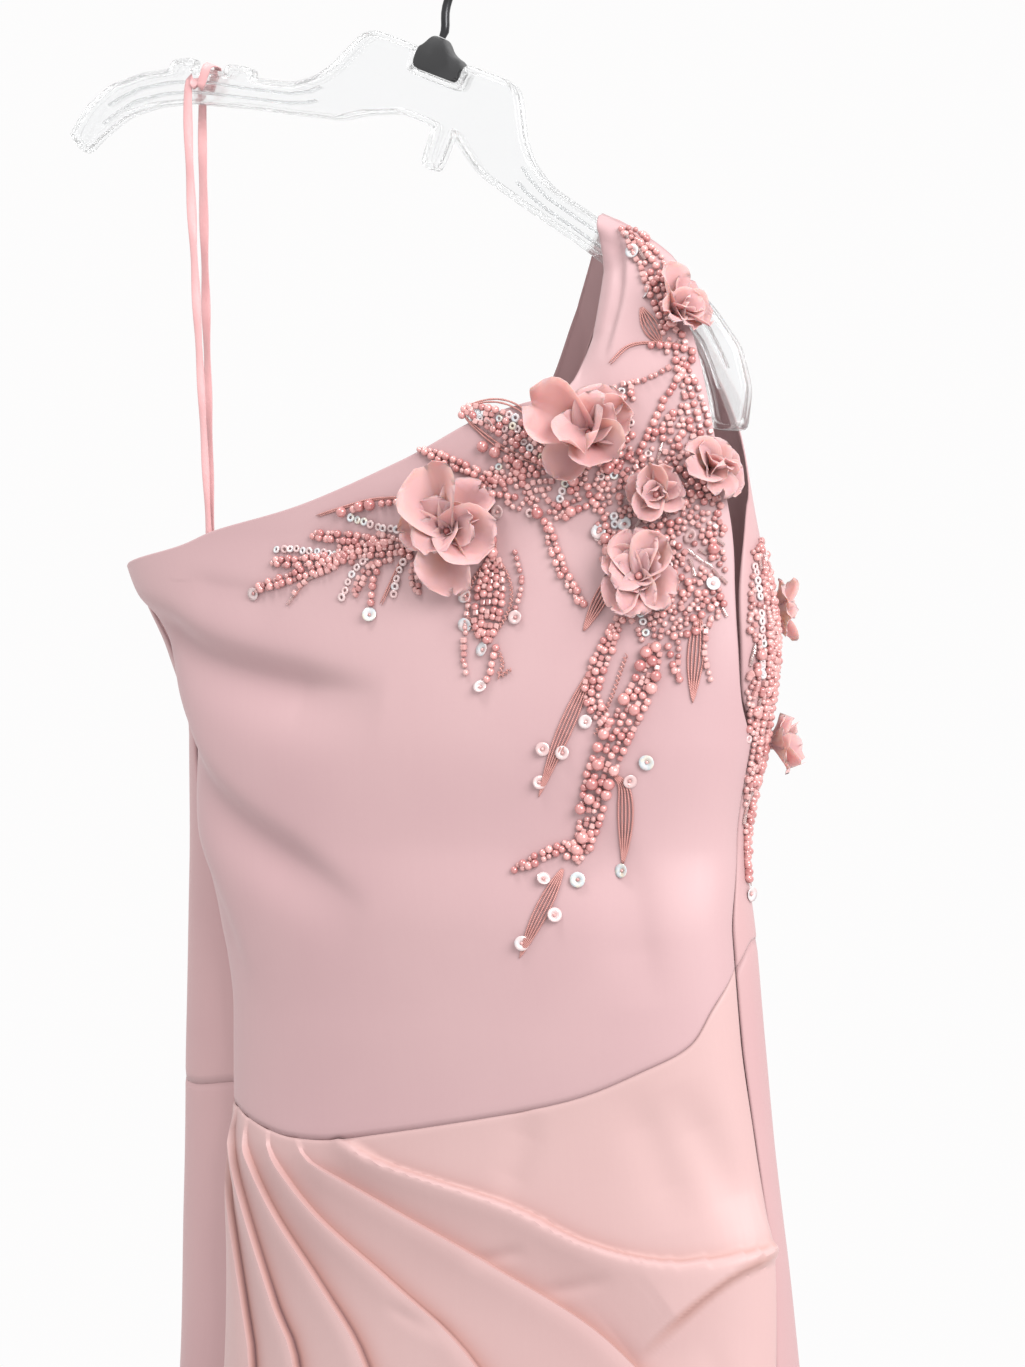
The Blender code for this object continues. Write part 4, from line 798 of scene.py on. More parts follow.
@dataclass(frozen=True)
class Chiffon:
    """Petal chiffon: matt, thin and paler towards its heat-cut edge."""

    name: str = "petal_chiffon"
    base: Colour = (0.54, 0.265, 0.265)
    edge: Colour = (0.68, 0.41, 0.405)

    def make(self) -> bpy.types.Material:
        """Returns: the petal material."""
        shop = Shop(self.name)
        cloth, place = shop.cloth_map(), shop.place()
        across, along, _ = shop.parts(cloth)
        rim = shop.attribute("rim")
        weave = (across * (2 * pi / 0.0005)).sine() * (along * (2 * pi / 0.0005)).sine() * 0.5 + 0.5
        drift = shop.noise(place, 90.0, 2.0)
        colour = shop.mix(drift * 0.5, self.base, darker(self.base, 0.86))
        colour = shop.mix(rim ** 2.5 * 0.75, colour, self.edge)
        shop.set(Base_Color=colour, Roughness=0.72 + weave * 0.08,
                 Alpha=1.0 - rim ** 4 * 0.12 - weave * 0.05, Normal=shop.bump(weave + drift, 0.0001, 0.5),
                 Sheen_Weight=0.45, Sheen_Roughness=0.5,
                 Sheen_Tint=(1.0, 0.85, 0.85, 1.0), Specular_IOR_Level=0.25,
                 Subsurface_Weight=0.25, Subsurface_Scale=0.004)
        return shop.material


@dataclass(frozen=True)
class Gem:
    """A bead, pearl, sequin or crystal: a base that differs from one to the next under a gloss."""

    name: str
    dark: Colour
    pale: Colour
    roughness: float
    metallic: float = 0.0
    coat: float = 0.5
    transmission: float = 0.0
    hues: bool = False

    def make(self) -> bpy.types.Material:
        """Returns: the material, with a tone for each bead from its attribute."""
        shop = Shop(self.name)
        tone = shop.attribute("tone")
        cloud = shop.noise(shop.place(), 700.0, 1.0)
        colour = shop.mix((tone * 0.8 + cloud * 0.3).between(0.05, 1.0), self.dark, self.pale)
        if self.hues:
            swing = shop.noise(shop.place(), 260.0, 1.0) + tone
            hue = shop.node("ShaderNodeValToRGB", {"stops": (
                (0.35, (0.62, 0.42, 0.42)), (0.62, (0.66, 0.56, 0.56)), (0.8, (0.42, 0.6, 0.66)),
                (0.95, (0.68, 0.62, 0.42)))}, {0: swing * 0.6})[0]
            colour = shop.mix(0.55, colour, hue)
        shop.set(Base_Color=colour, Roughness=self.roughness + cloud * 0.08, Metallic=self.metallic,
                 Coat_Weight=self.coat, Coat_Roughness=0.06, Transmission_Weight=self.transmission,
                 Normal=shop.bump(cloud, 0.00008, 0.4))
        return shop.material


@dataclass(frozen=True)
class RoseThread:
    """Metallic embroidery thread: twisted strands with a soft painted glint along the twist."""

    name: str = "rose_thread"
    base: Colour = (0.33, 0.11, 0.1)
    glint: Colour = (0.56, 0.3, 0.27)

    def make(self) -> bpy.types.Material:
        """Returns: the thread material."""
        shop = Shop(self.name)
        place = shop.place()
        x, _, z = shop.parts(place)
        twist = ((x + z) * (2 * pi / 0.0011)).sine() * 0.5 + 0.5
        drift = shop.noise(place, 240.0, 2.0)
        # painted highlight: the paler glint colour follows the twist stripes and the noise
        colour = shop.mix(twist * 0.5 + drift * 0.4, self.base, self.glint)
        shop.set(Base_Color=colour, Roughness=0.38 + drift * 0.15, Metallic=0.35,
                 Normal=shop.bump(twist, 0.00015, 0.7), Sheen_Weight=0.2)
        return shop.material


@dataclass(frozen=True)
class SatinRibbon:
    """Narrow satin ribbon: fine ribs across, paler drifts and darker long edges."""

    name: str = "satin_ribbon"
    base: Colour = (0.48, 0.215, 0.222)
    light: Colour = (0.68, 0.41, 0.41)

    def make(self) -> bpy.types.Material:
        """Returns: the ribbon material."""
        shop = Shop(self.name)
        across, along, _ = shop.parts(shop.cloth_map())
        ribs = (along * (2 * pi / 0.0006)).sine() * 0.5 + 0.5
        edge = ((across - 0.5).size() * 2.0) ** 6
        drift = shop.noise(shop.place(), 60.0, 2.0)
        colour = shop.mix(drift * 0.7 + ribs * 0.15, self.base, self.light)
        colour = shop.mix(edge * 0.5, colour, darker(self.base, 0.7))
        shop.set(Base_Color=colour, Roughness=0.34 + ribs * 0.08,
                 Normal=shop.bump(ribs + edge, 0.00012, 0.5), Anisotropic=0.5, Sheen_Weight=0.2,
                 Specular_IOR_Level=0.5)
        return shop.material


@dataclass(frozen=True)
class ClearPlastic:
    """Clear moulded plastic with faint flow lines and handling scuffs."""

    name: str = "clear_plastic_look"
    tint: Colour = (0.94, 0.95, 0.956)

    def make(self) -> bpy.types.Material:
        """Returns: the clear material."""
        shop = Shop(self.name)
        place = shop.place()
        flow = shop.noise(shop.stretched(place, (1.0, 1.0, 3.0)), 45.0, 2.0)
        scuff = shop.noise(shop.stretched(place, (1.0, 1.0, 6.0)), 900.0, 3.0).between(0.62, 0.8)
        shop.set(Base_Color=shop.mix(flow * 0.4, self.tint, darker(self.tint, 0.97)),
                 Roughness=0.09 + scuff * 0.2 + flow * 0.05, Transmission_Weight=1.0, IOR=1.47,
                 Normal=shop.bump(flow, 0.00015, 0.3), Coat_Weight=0.3, Coat_Roughness=0.05, Alpha=0.72)
        return shop.material


@dataclass(frozen=True)
class Moulded:
    """Opaque moulded plastic or coated wire, with a fine grain and paler rubbed edges."""

    name: str
    base: Colour
    roughness: float
    metallic: float = 0.0
    grain: float = 900.0

    def make(self) -> bpy.types.Material:
        """Returns: the material."""
        shop = Shop(self.name)
        place = shop.place()
        grain, wear = shop.noise(place, self.grain, 3.0), shop.noise(place, 60.0, 3.0)
        rubbed = tuple(2.2 * part + 0.02 for part in self.base)
        colour = shop.mix(wear.between(0.45, 0.8) * 0.5, self.base, rubbed)
        shop.set(Base_Color=colour, Roughness=self.roughness + (wear - 0.5) * 0.2, Metallic=self.metallic,
                 Normal=shop.bump(grain, 0.00008, 0.6), Coat_Weight=0.15)
        return shop.material


class Finish(Enum):
    """The finishes of the dress and its hanger."""

    BODICE = SatinCrepe("satin_bodice", (0.428, 0.28, 0.286), (0.374, 0.23, 0.244))
    SKIRT = SatinCrepe("satin_skirt_look", (0.462, 0.308, 0.3), (0.406, 0.252, 0.247))
    REAR = SatinCrepe("satin_back", (0.43, 0.268, 0.27), (0.37, 0.217, 0.228))
    PETAL = Chiffon()
    PEARL = Gem("rose_pearl", (0.37, 0.122, 0.12), (0.64, 0.33, 0.312), 0.2, 0.15, 0.8)
    SEED = Gem("seed_bead", (0.4, 0.15, 0.146), (0.7, 0.415, 0.395), 0.14, 0.0, 0.7, 0.15)
    SEQUIN = Gem("pale_sequin", (0.43, 0.29, 0.28), (0.62, 0.515, 0.505), 0.24, 0.1, 0.45, 0.0, True)
    CRYSTAL = Gem("crystal", (0.72, 0.47, 0.45), (0.86, 0.7, 0.68), 0.04, 0.0, 0.6, 0.75)
    THREAD = RoseThread()
    RIBBON = SatinRibbon()
    CLEAR = ClearPlastic()
    BLACK = Moulded("black_block", (0.012, 0.012, 0.013), 0.42)
    WIRE = Moulded("dark_wire_look", (0.02, 0.02, 0.022), 0.3, 0.6, 1500.0)

    def material(self) -> bpy.types.Material:
        """Returns: the finish's material, made the first time it is asked for."""
        return bpy.data.materials.get(self.value.name) or self.value.make()


def put_up(name: str, mesh: bpy.types.Mesh, finishes: Sequence[Finish], slot: str,
           replaces: Sequence[str] = ()) -> bpy.types.Object:
    """Makes a finished piece of a mesh.

    Args:
        name: the piece's name.
        mesh: its mesh, already in place.
        finishes: its finishes, in slot order.
        slot: the record's material slot; not used.
        replaces: solids that it stands for.
    Returns:
        The object, riding on the root body.
    """
    piece = bpy.data.objects.new(name, mesh)
    bpy.context.scene.collection.objects.link(piece)
    for finish in finishes:
        mesh.materials.append(finish.material())
    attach(piece, "root")
    if replaces:
        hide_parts(*replaces)
    log.info("%s: %d faces", name, len(mesh.polygons))
    return piece


def mesh_of(name: str, bm: bmesh.types.BMesh, smooth: bool = True) -> bpy.types.Mesh:
    """Returns: a mesh from a bmesh, which is freed."""
    mesh = bpy.data.meshes.new(name)
    bm.to_mesh(mesh)
    bm.free()
    if smooth:
        mesh.shade_smooth()
    return mesh


def store(mesh: bpy.types.Mesh, name: str, values: Array) -> None:
    """Keeps a number for each point under a name that materials read."""
    kept = mesh.attributes.new(name, "FLOAT", "POINT")
    kept.data.foreach_set("value", np.asarray(values, np.float32).ravel())


def read_points(mesh: bpy.types.Mesh, what: str = "co") -> Array:
    """Returns: the place, or the normal, of each point of a mesh."""
    numbers = np.zeros(len(mesh.vertices) * 3)
    mesh.vertices.foreach_get(what, numbers)
    return numbers.reshape(-1, 3)


def store_map(mesh: bpy.types.Mesh, flat: Array) -> None:
    """Keeps cloth coordinates, one row for each point, as the cloth UV map."""
    layer = mesh.uv_layers.new(name="cloth")
    points = np.zeros(len(mesh.loops), np.int32)
    mesh.loops.foreach_get("vertex_index", points)
    layer.data.foreach_set("uv", flat[points].astype(np.float32).ravel())


@dataclass
class Edge:
    """One side of a panel in its drawing frame, split by knots that are joined across."""

    runs: list[Array]

    def at(self, shares: Array, parts: Array) -> Array:
        """Returns: the points at shares of the whole, where parts gives the knots' shares."""
        out = np.zeros((len(shares), 2))
        for run, low, high in zip(self.runs, parts[:-1], parts[1:]):
            inside = (shares >= low - 1e-9) & (shares <= high + 1e-9)
            along = travelled(run)
            t = (shares[inside] - low) / (high - low) * along[-1]
            out[inside] = np.stack([np.interp(t, along, run[:, k]) for k in (0, 1)], axis=-1)
        return out


@dataclass
class Panel:
    """A cloth panel: a grid laid between two edges, wrapped on its surface as a thin shell.

    The parts are the shares of the height at which the edges' knots lie. The lowest row follows the
    line called low, and the rows above it within sink, a share of the height, are drawn towards it.
    The cut is the flat size and area the cloth area; neither is used. A roll is how wide and how deep an
    edge rolls in; seam_sides says for the left, right, low and high side whether it is sewn. The ribs are
    lines that a column of the grid follows.
    """

    name: str
    left: Edge
    right: Edge
    parts: Array
    low: Array
    surface: Surface
    finish: Finish
    slot: str
    columns: int
    rows: Array
    cut: Spot
    area: float
    sink: float = 0.14
    wall: float = 0.001
    sewn_roll: Spot = (0.0016, 0.00045)
    turned_roll: Spot = (0.0014, 0.0005)
    sharp: float = radians(42)
    seam_sides: tuple[bool, bool, bool, bool] = (True, True, True, False)
    snap: Callable[[Array, Array], tuple[Array, Array]] | None = None
    # shade gives the painted pleat shade, kept as the fold attribute
    shade: Callable[[Array, Array], Array] | None = None
    soften: Callable[[Array, Array], Array] | None = None
    ribs: tuple[tuple[int, Edge], ...] = ()

    def drawing(self) -> tuple[Array, Array, Array, Array]:
        """Returns: drawing-frame p and z, and the grid's own u and v, of every point."""
        across = np.arange(self.columns + 1) / self.columns
        u = across[None, :].repeat(len(self.rows), 0)
        v = self.rows[:, None].repeat(self.columns + 1, 1)
        lines = [(0, self.left), *self.ribs, (self.columns, self.right)]
        marks = np.array([column for column, _ in lines]) / self.columns
        ends = np.stack([edge.at(self.rows, self.parts) for _, edge in lines], axis=1)
        k = np.clip(np.searchsorted(marks, across, side="right") - 1, 0, len(marks) - 2)
        t = (across - marks[k]) / (marks[k + 1] - marks[k])
        flat = ends[:, k] * (1 - t)[None, :, None] + ends[:, k + 1] * t[None, :, None]
        along = travelled(self.low)
        knots = (along[nearest(self.low, edge.runs[0][0])] for _, edge in self.ribs)
        starts = np.array([0.0, *knots, along[-1]])
        at = starts[k] * (1 - t) + starts[k + 1] * t
        seam = np.stack([np.interp(at, along, self.low[:, c]) for c in (0, 1)], axis=-1)
        pull = clip01(1 - v / self.sink) ** 2
        flat = flat + (seam - flat[0])[None] * pull[..., None]
        return flat[..., 0].ravel(), flat[..., 1].ravel(), u.ravel(), v.ravel()

    def build(self) -> bpy.types.Object:
        """Returns: the dressed panel."""
        count = len(self.rows)
        bm = bmesh.new()
        bmesh.ops.create_grid(bm, x_segments=self.columns, y_segments=count - 1, size=0.5)
        mesh = mesh_of(self.name, bm)
        co = read_points(mesh)
        column = np.rint((co[:, 0] + 0.5) * self.columns).astype(int)
        row = np.rint((co[:, 1] + 0.5) * (count - 1)).astype(int)
        pick = row * (self.columns + 1) + column
        p, z, u, v = self.drawing()
        if self.snap:
            p, z = (part.ravel() for part in self.snap(p.reshape(count, -1), z.reshape(count, -1)))
        outer, facing = self.surface(p, z)
        inset = self.edge_roll(u, v, outer)
        outer = outer - facing * inset[:, None]
        if self.soften:
            outer = self.softened(outer.reshape(count, -1, 3), self.soften(p, z).reshape(count, -1, 1))
        mesh.vertices.foreach_set("co", outer[pick].ravel())
        flat = np.stack((p, z), axis=-1)
        store_map(mesh, flat[pick])
        # the fold attribute holds painted pleat shade that the cloth material reads
        fold = self.shade(p, z) if self.shade else np.zeros(len(p))
        if self.shade:
            mesh.set_sharp_from_angle(angle=self.sharp)
        store(mesh, "fold", fold[pick])
        # the seam attribute holds painted shade, strongest where the edge rolls in deepest
        store(mesh, "seam", clip01(inset / self.turned_roll[1])[pick])
        self.face_out(mesh, facing[pick])
        piece = put_up(self.name + "_cloth", mesh, (self.finish,), self.slot, (self.name,))
        solid = piece.modifiers.new("wall", "SOLIDIFY")
        solid.thickness, solid.offset = self.wall, -1.0
        solid.use_rim, solid.use_even_offset = True, False
        return piece

    @staticmethod
    def softened(grid: Array, weight: Array) -> Array:
        """Returns: the grid's points, drawn towards their neighbours where the weight says so."""
        for _ in range(3):
            mean = grid.copy()
            mean[1:-1, 1:-1] = (grid[:-2, 1:-1] + grid[2:, 1:-1] + grid[1:-1, :-2] + grid[1:-1, 2:]) / 4
            grid = grid + (mean - grid) * weight * 0.55
        return grid.reshape(-1, 3)

    @staticmethod
    def face_out(mesh: bpy.types.Mesh, facing: Array) -> None:
        """Turns the faces round where they look inwards."""
        mesh.update()
        if (read_points(mesh, "normal") * facing).sum() < 0:
            mesh.flip_normals()

    def edge_roll(self, u: Array, v: Array, outer: Array) -> Array:
        """Returns: how far each point sinks towards the wall's inside near an edge."""
        grid = outer.reshape(len(self.rows), -1, 3)
        wide = np.linalg.norm(np.diff(grid, axis=1), axis=2).sum(axis=1)
        tall = np.linalg.norm(np.diff(grid, axis=0), axis=2).sum(axis=0)
        wide, tall = wide.repeat(self.columns + 1), np.tile(tall, len(self.rows))
        gaps = (u * wide, (1 - u) * wide, v * tall, (1 - v) * tall)
        inset = np.zeros(len(u))
        for gap, sewn in zip(gaps, self.seam_sides):
            reach, deep = self.sewn_roll if sewn else self.turned_roll
            inset = np.maximum(inset, deep * clip01(1 - gap / reach) ** 2)
        return inset


@dataclass
class Gown:
    """The four cloth panels of the dress."""

    form: DressForm
    front_neck: tuple[Spot, ...] = (
        (-0.14, -0.3113), (-0.106, -0.3028), (-0.054, -0.2925), (0.002, -0.2737), (0.038, -0.2575),
        (0.063, -0.2502), (0.077, -0.247), (0.0855, -0.239), (0.0888, -0.212), (0.0882, -0.184))
    back_neck: tuple[Spot, ...] = (
        (-0.12, -0.303), (-0.06, -0.285), (0.0, -0.262), (0.033, -0.238), (0.055, -0.205),
        (0.071, -0.18), (0.076, -0.1725))
    front_armhole: tuple[Spot, ...] = (
        (0.1605, -0.3843), (0.16, -0.3578), (0.1578, -0.3314), (0.1543, -0.305), (0.1488, -0.2781),
        (0.1435, -0.2506), (0.1365, -0.2234), (0.131, -0.2085))
    back_armhole: tuple[Spot, ...] = (
        (-8, -0.394), (-15, -0.384), (-18, -0.368), (-18, -0.345), (-14, -0.325), (-5, -0.305),
        (5, -0.285), (13, -0.262), (19, -0.24), (24, -0.215), (21, -0.2))
    waist: tuple[Spot, ...] = (
        (-0.0984, -0.5811), (-0.0896, -0.5846), (-0.0745, -0.5889), (-0.058, -0.5913), (-0.034, -0.5903),
        (-0.0056, -0.585), (0.0314, -0.5774), (0.0663, -0.5696), (0.0947, -0.5616), (0.1216, -0.5493),
        (0.142, -0.5369), (0.1504, -0.52))
    back_waist: tuple[Spot, ...] = (
        (0.0, -0.572), (0.1, -0.577), (0.5, -0.535), (0.93, -0.492), (1.0, -0.504))
    waist_left: float = -0.579
    waist_right: float = -0.504
    fine: float = 0.002

    def front_spot(self, x: float, z: float) -> Spot:
        """Returns: the drawing-frame spot of a front point given as (x, z)."""
        return float(self.form.front_share(x, z)), z

    def back_spot(self, x: float, z: float) -> Spot:
        """Returns: the drawing-frame spot of a rear point given as (x, z)."""
        return float(self.form.back_share(x, z)), z

    def back_edge(self, side: int, z: float) -> Spot:
        """Returns: the spot on the back's left (0) or right (1) seam."""
        form = self.form
        if side == 0:
            return float(-form.left_angle(z) * form.back_scale + 2 * form.seam), z
        return float(-form.right_angle(z) * form.back_scale - 2 * form.seam), z

    def front_waist(self, gap: float) -> Array:
        """Returns: the front waist seam, moved by half a seam gap."""
        spots = [(0.0, self.waist_left), *(self.front_spot(*row) for row in self.waist),
                 (self.form.front_span, self.waist_right)]
        return self.run(spots) + np.array((0.0, gap))

    def rear_waist(self, gap: float) -> Array:
        """Returns: the back waist seam, moved by half a seam gap."""
        curve, out = Curve(self.back_waist), []
        for share in np.linspace(0, 1, 120):
            z = float(curve(share))
            left, right = self.back_edge(0, z)[0], self.back_edge(1, z)[0]
            out.append((left + (right - left) * share, z + gap))
        return np.array(out)

    @staticmethod
    def split(line: Array, spot: Spot) -> list[Array]:
        """Returns: a line in two parts, cut at its point nearest to a spot."""
        k = nearest(line, spot)
        return [line[:k + 1], line[k:]]

    def run(self, spots: Iterable[Spot]) -> Array:
        """Returns: fine points along a smooth edge."""
        return smooth_line(list(spots), self.fine)

    @staticmethod
    def seam_run(edge: Callable[[float], Spot], start: float, end: float) -> Array:
        """Returns: points down or up a side seam."""
        return np.array([edge(float(z)) for z in np.linspace(start, end, 60)])

    def bodice_front(self) -> Panel:
        """Returns: the bodice front, cut in one with the front of the strap."""
        form, gap = self.form, self.form.seam
        low = self.front_waist(gap)
        left_seam, right_seam = (lambda z: (gap, z)), (lambda z: (form.front_span - gap, z))
        top = [self.front_spot(x, float(form.shoulder(x))) for x in (form.neck_x, form.shoulder_x)]
        neck, arm = ([self.front_spot(*row) for row in rows]
                     for rows in (self.front_neck, self.front_armhole))
        neck = self.run([left_seam(form.left_top_z), *neck, top[0]])
        arm = self.run([right_seam(form.underarm_z), *arm, top[1]])
        left = Edge([self.seam_run(left_seam, low[0, 1], form.left_top_z),
                     *self.split(neck, self.front_spot(0.0855, -0.239))])
        right = Edge([self.seam_run(right_seam, low[-1, 1], form.underarm_z),
                      *self.split(arm, self.front_spot(0.1365, -0.2234))])
        return Panel("bodice_front", left, right, np.array((0.0, 0.42, 0.82, 1.0)), low, form.bodice_front,
                     Finish.BODICE, "satin", 168, np.linspace(0, 1, 212), (0.37, 0.44), 0.096, 0.4,
                     seam_sides=(False, False, True, True))

    def bodice_back(self) -> Panel:
        """Returns: the bodice back, cut in one with the back of the strap."""
        form = self.form
        low = self.rear_waist(form.seam)
        top = [self.back_spot(x, float(form.shoulder(x))) for x in (form.neck_x, form.shoulder_x)]
        neck = [self.back_spot(*row) for row in self.back_neck]
        arm = [(-radians(turn) * form.back_scale, z) for turn, z in self.back_armhole]
        neck = self.run([self.back_edge(0, form.left_top_z), *neck, top[0]])
        arm = self.run([self.back_edge(1, form.underarm_z), *arm, top[1]])
        left = Edge([self.seam_run(lambda z: self.back_edge(0, z), low[0, 1], form.left_top_z),
                     *self.split(neck, self.back_spot(0.055, -0.205))])
        right = Edge([self.seam_run(lambda z: self.back_edge(1, z), low[-1, 1], form.underarm_z),
                      *self.split(arm, (-radians(13) * form.back_scale, -0.262))])
        return Panel("bodice_back", left, right, np.array((0.0, 0.42, 0.82, 1.0)), low, form.bodice_back,
                     Finish.REAR, "satin", 120, np.linspace(0, 1, 150), (0.46, 0.44), 0.106, 0.4,
                     seam_sides=(False, False, True, True))

    @staticmethod
    def skirt_rows(fine: int, coarse: int, turn: float) -> Array:
        """Returns: the rows of a skirt grid, close together down to a turning share."""
        return np.concatenate((np.linspace(0, turn, fine, endpoint=False), np.linspace(turn, 1, coarse)))

    def pleat_edge(self, line: Array, foot: float) -> Edge:
        """Returns: a pleat's fold, or its foot beside it, as a line down the skirt."""
        form = self.form
        line = line - left_of(unit(np.gradient(line, axis=0))) * foot
        low = form.fold_z + (form.hem_z - form.fold_z) * form.low_scale
        keep = line[line[:, 1] > low]
        after = line[len(keep)] if len(keep) < len(line) else line[-1]
        share = (low - keep[-1, 1]) / min(after[1] - keep[-1, 1], -1e-6)
        line = np.vstack((keep, (keep[-1, 0] + (after[0] - keep[-1, 0]) * share, low)))
        return Edge([np.stack((line[:, 0], form.released(line[:, 1])), axis=1)])

    def skirt_front(self) -> Panel:
        """Returns: the pleated skirt front."""
        form = self.form
        low = self.front_waist(-form.seam)
        ribs, column = [], 0
        for k, step in zip((5, 4, 3, 2, 1), (14, 15, 17, 21, 27)):
            line = form.pleat_lines[k]
            shift = low[nearest(low, line[0])] - line[0]
            line = form.pleat_lines[k] = line + shift * clip01(1 - travelled(line) / 0.03)[:, None]
            column += step
            for foot in (0.0, -0.0014):
                ribs.append((column, self.pleat_edge(line, foot)))
                column += 1
        left = Edge([self.seam_run(lambda z: (form.seam, z), low[0, 1], form.hem_z)])
        right = Edge([self.seam_run(lambda z: (form.front_span - form.seam, z), low[-1, 1], form.hem_z)])
        return Panel("skirt_front", left, right, np.array((0.0, 1.0)), low, form.skirt_front, Finish.SKIRT,
                     "satin_skirt", 226, self.skirt_rows(140, 66, 0.24), (0.66, 1.13), 0.463, 0.16,
                     snap=form.snap_to_pleats, shade=form.pleat_shade, soften=form.pleat_near,
                     ribs=tuple(ribs))

    def skirt_back(self) -> Panel:
        """Returns: the skirt back."""
        form = self.form
        low = self.rear_waist(-form.seam)
        left = Edge([self.seam_run(lambda z: self.back_edge(0, z), low[0, 1], form.hem_z)])
        right = Edge([self.seam_run(lambda z: self.back_edge(1, z), low[-1, 1], form.hem_z)])
        return Panel("skirt_back", left, right, np.array((0.0, 1.0)), low, form.skirt_back, Finish.REAR,
                     "satin_skirt", 150, self.skirt_rows(40, 110, 0.16), (0.88, 1.13), 0.633, 0.16)

    def build(self) -> None:
        """Builds and dresses all four panels."""
        for panel in (self.bodice_front(), self.bodice_back(), self.skirt_front(), self.skirt_back()):
            panel.build()


def skin(loops: Array, capped: bool = True) -> bmesh.types.BMesh:
    """A closed skin over a row of matching loops.

    Args:
        loops: stations by points by three.
        capped: whether the first and last loop are filled.
    Returns:
        The bmesh, with its normals outward.
    """
    stations, around = loops.shape[:2]
    bm = bmesh.new()
    bmesh.ops.create_grid(bm, x_segments=around, y_segments=stations - 1, size=0.5)
    for vert in bm.verts:
        column, row = round((vert.co.x + 0.5) * around), round((vert.co.y + 0.5) * (stations - 1))
        vert.co = loops[row, column % around]
    bmesh.ops.remove_doubles(bm, verts=bm.verts, dist=1e-8)
    if capped:
        caps = bmesh.ops.holes_fill(bm, edges=[e for e in bm.edges if e.is_boundary], sides=0)["faces"]
        bmesh.ops.triangulate(bm, faces=caps, ngon_method="EAR_CLIP")
    bmesh.ops.recalc_face_normals(bm, faces=bm.faces)
    return bm


def tube_loops(path: Array, up: Array, radius: Array, sides: int) -> Array:
    """Returns: round loops along a path, turned so that they start on its upper side."""
    way = unit(np.gradient(path, axis=0))
    side = unit(np.cross(way, up))
    rise = np.cross(side, way)
    angles = (2 * pi * np.arange(sides) / sides)[None, :, None]
    around = side[:, None] * np.cos(angles) + rise[:, None] * np.sin(angles)
    return path[:, None] + around * np.reshape(radius, (-1, 1, 1))


class Bead(Enum):
    """The kinds of bead: shape, width in metres, pitch in a row, lift by its width, finish."""

    SEED = ("ball", 0.0027, 0.0028, 0.34, Finish.SEED)
    PEARL = ("ball", 0.0037, 0.0036, 0.36, Finish.PEARL)
    BIG = ("ball", 0.0055, 0.0058, 0.38, Finish.PEARL)
    CUBE = ("cube", 0.0031, 0.0032, 0.34, Finish.SEED)
    BUGLE = ("bugle", 0.0042, 0.0045, 0.18, Finish.CRYSTAL)
    RING = ("ring", 0.0042, 0.0037, 0.16, Finish.SEQUIN)
    CUP = ("cup", 0.0066, 0.007, 0.14, Finish.SEQUIN)

    def __init__(self, shape: str, width: float, pitch: float, lift: float, finish: Finish) -> None:
        """Args: the fields named above."""
        self.shape, self.width, self.pitch = shape, width, pitch
        self.lift, self.finish = lift, finish

    def template(self) -> bpy.types.Mesh:
        """Returns: one bead, a unit wide, its axis up."""
        bm = bmesh.new()
        if self.shape == "ball":
            bmesh.ops.create_icosphere(bm, subdivisions=2, radius=0.5)
        elif self.shape == "cube":
            bmesh.ops.create_cube(bm, size=0.82)
            bmesh.ops.bevel(bm, geom=bm.edges[:], offset=0.16, affect="EDGES", segments=1,
                            profile=0.5, material=-1)
        elif self.shape == "bugle":
            bmesh.ops.create_cone(bm, segments=8, radius1=0.2, radius2=0.2, depth=1.0, cap_ends=True)
            bmesh.ops.rotate(bm, verts=bm.verts, matrix=Matrix.Rotation(pi / 2, 3, "Y"))
        else:
            self.spin_profile(bm)
        bmesh.ops.recalc_face_normals(bm, faces=bm.faces)
        return mesh_of("bead", bm, self.shape not in ("cube", "bugle"))

    def spin_profile(self, bm: bmesh.types.BMesh) -> None:
        """Spins the section of a ring bead or a cup sequin round its hole."""
        if self.shape == "ring":
            turns = (2 * pi * k / 6 for k in range(6))
            spots, steps = [(0.33 + 0.17 * cos(a), 0.17 * sin(a)) for a in turns], 10
        else:
            spots = [(0.11, 0.03), (0.3, 0.04), (0.5, 0.15), (0.5, 0.12), (0.3, 0.0), (0.11, -0.01)]
            steps = 14
        circle = bmesh.ops.create_circle(bm, segments=len(spots), radius=1.0)["verts"]
        for vert, (out, up) in zip(circle, spots):
            vert.co = (out, 0.0, up)
        bmesh.ops.spin(bm, geom=bm.verts[:] + bm.edges[:], axis=(0, 0, 1), cent=(0, 0, 0), angle=2 * pi,
                       steps=steps, use_merge=True)


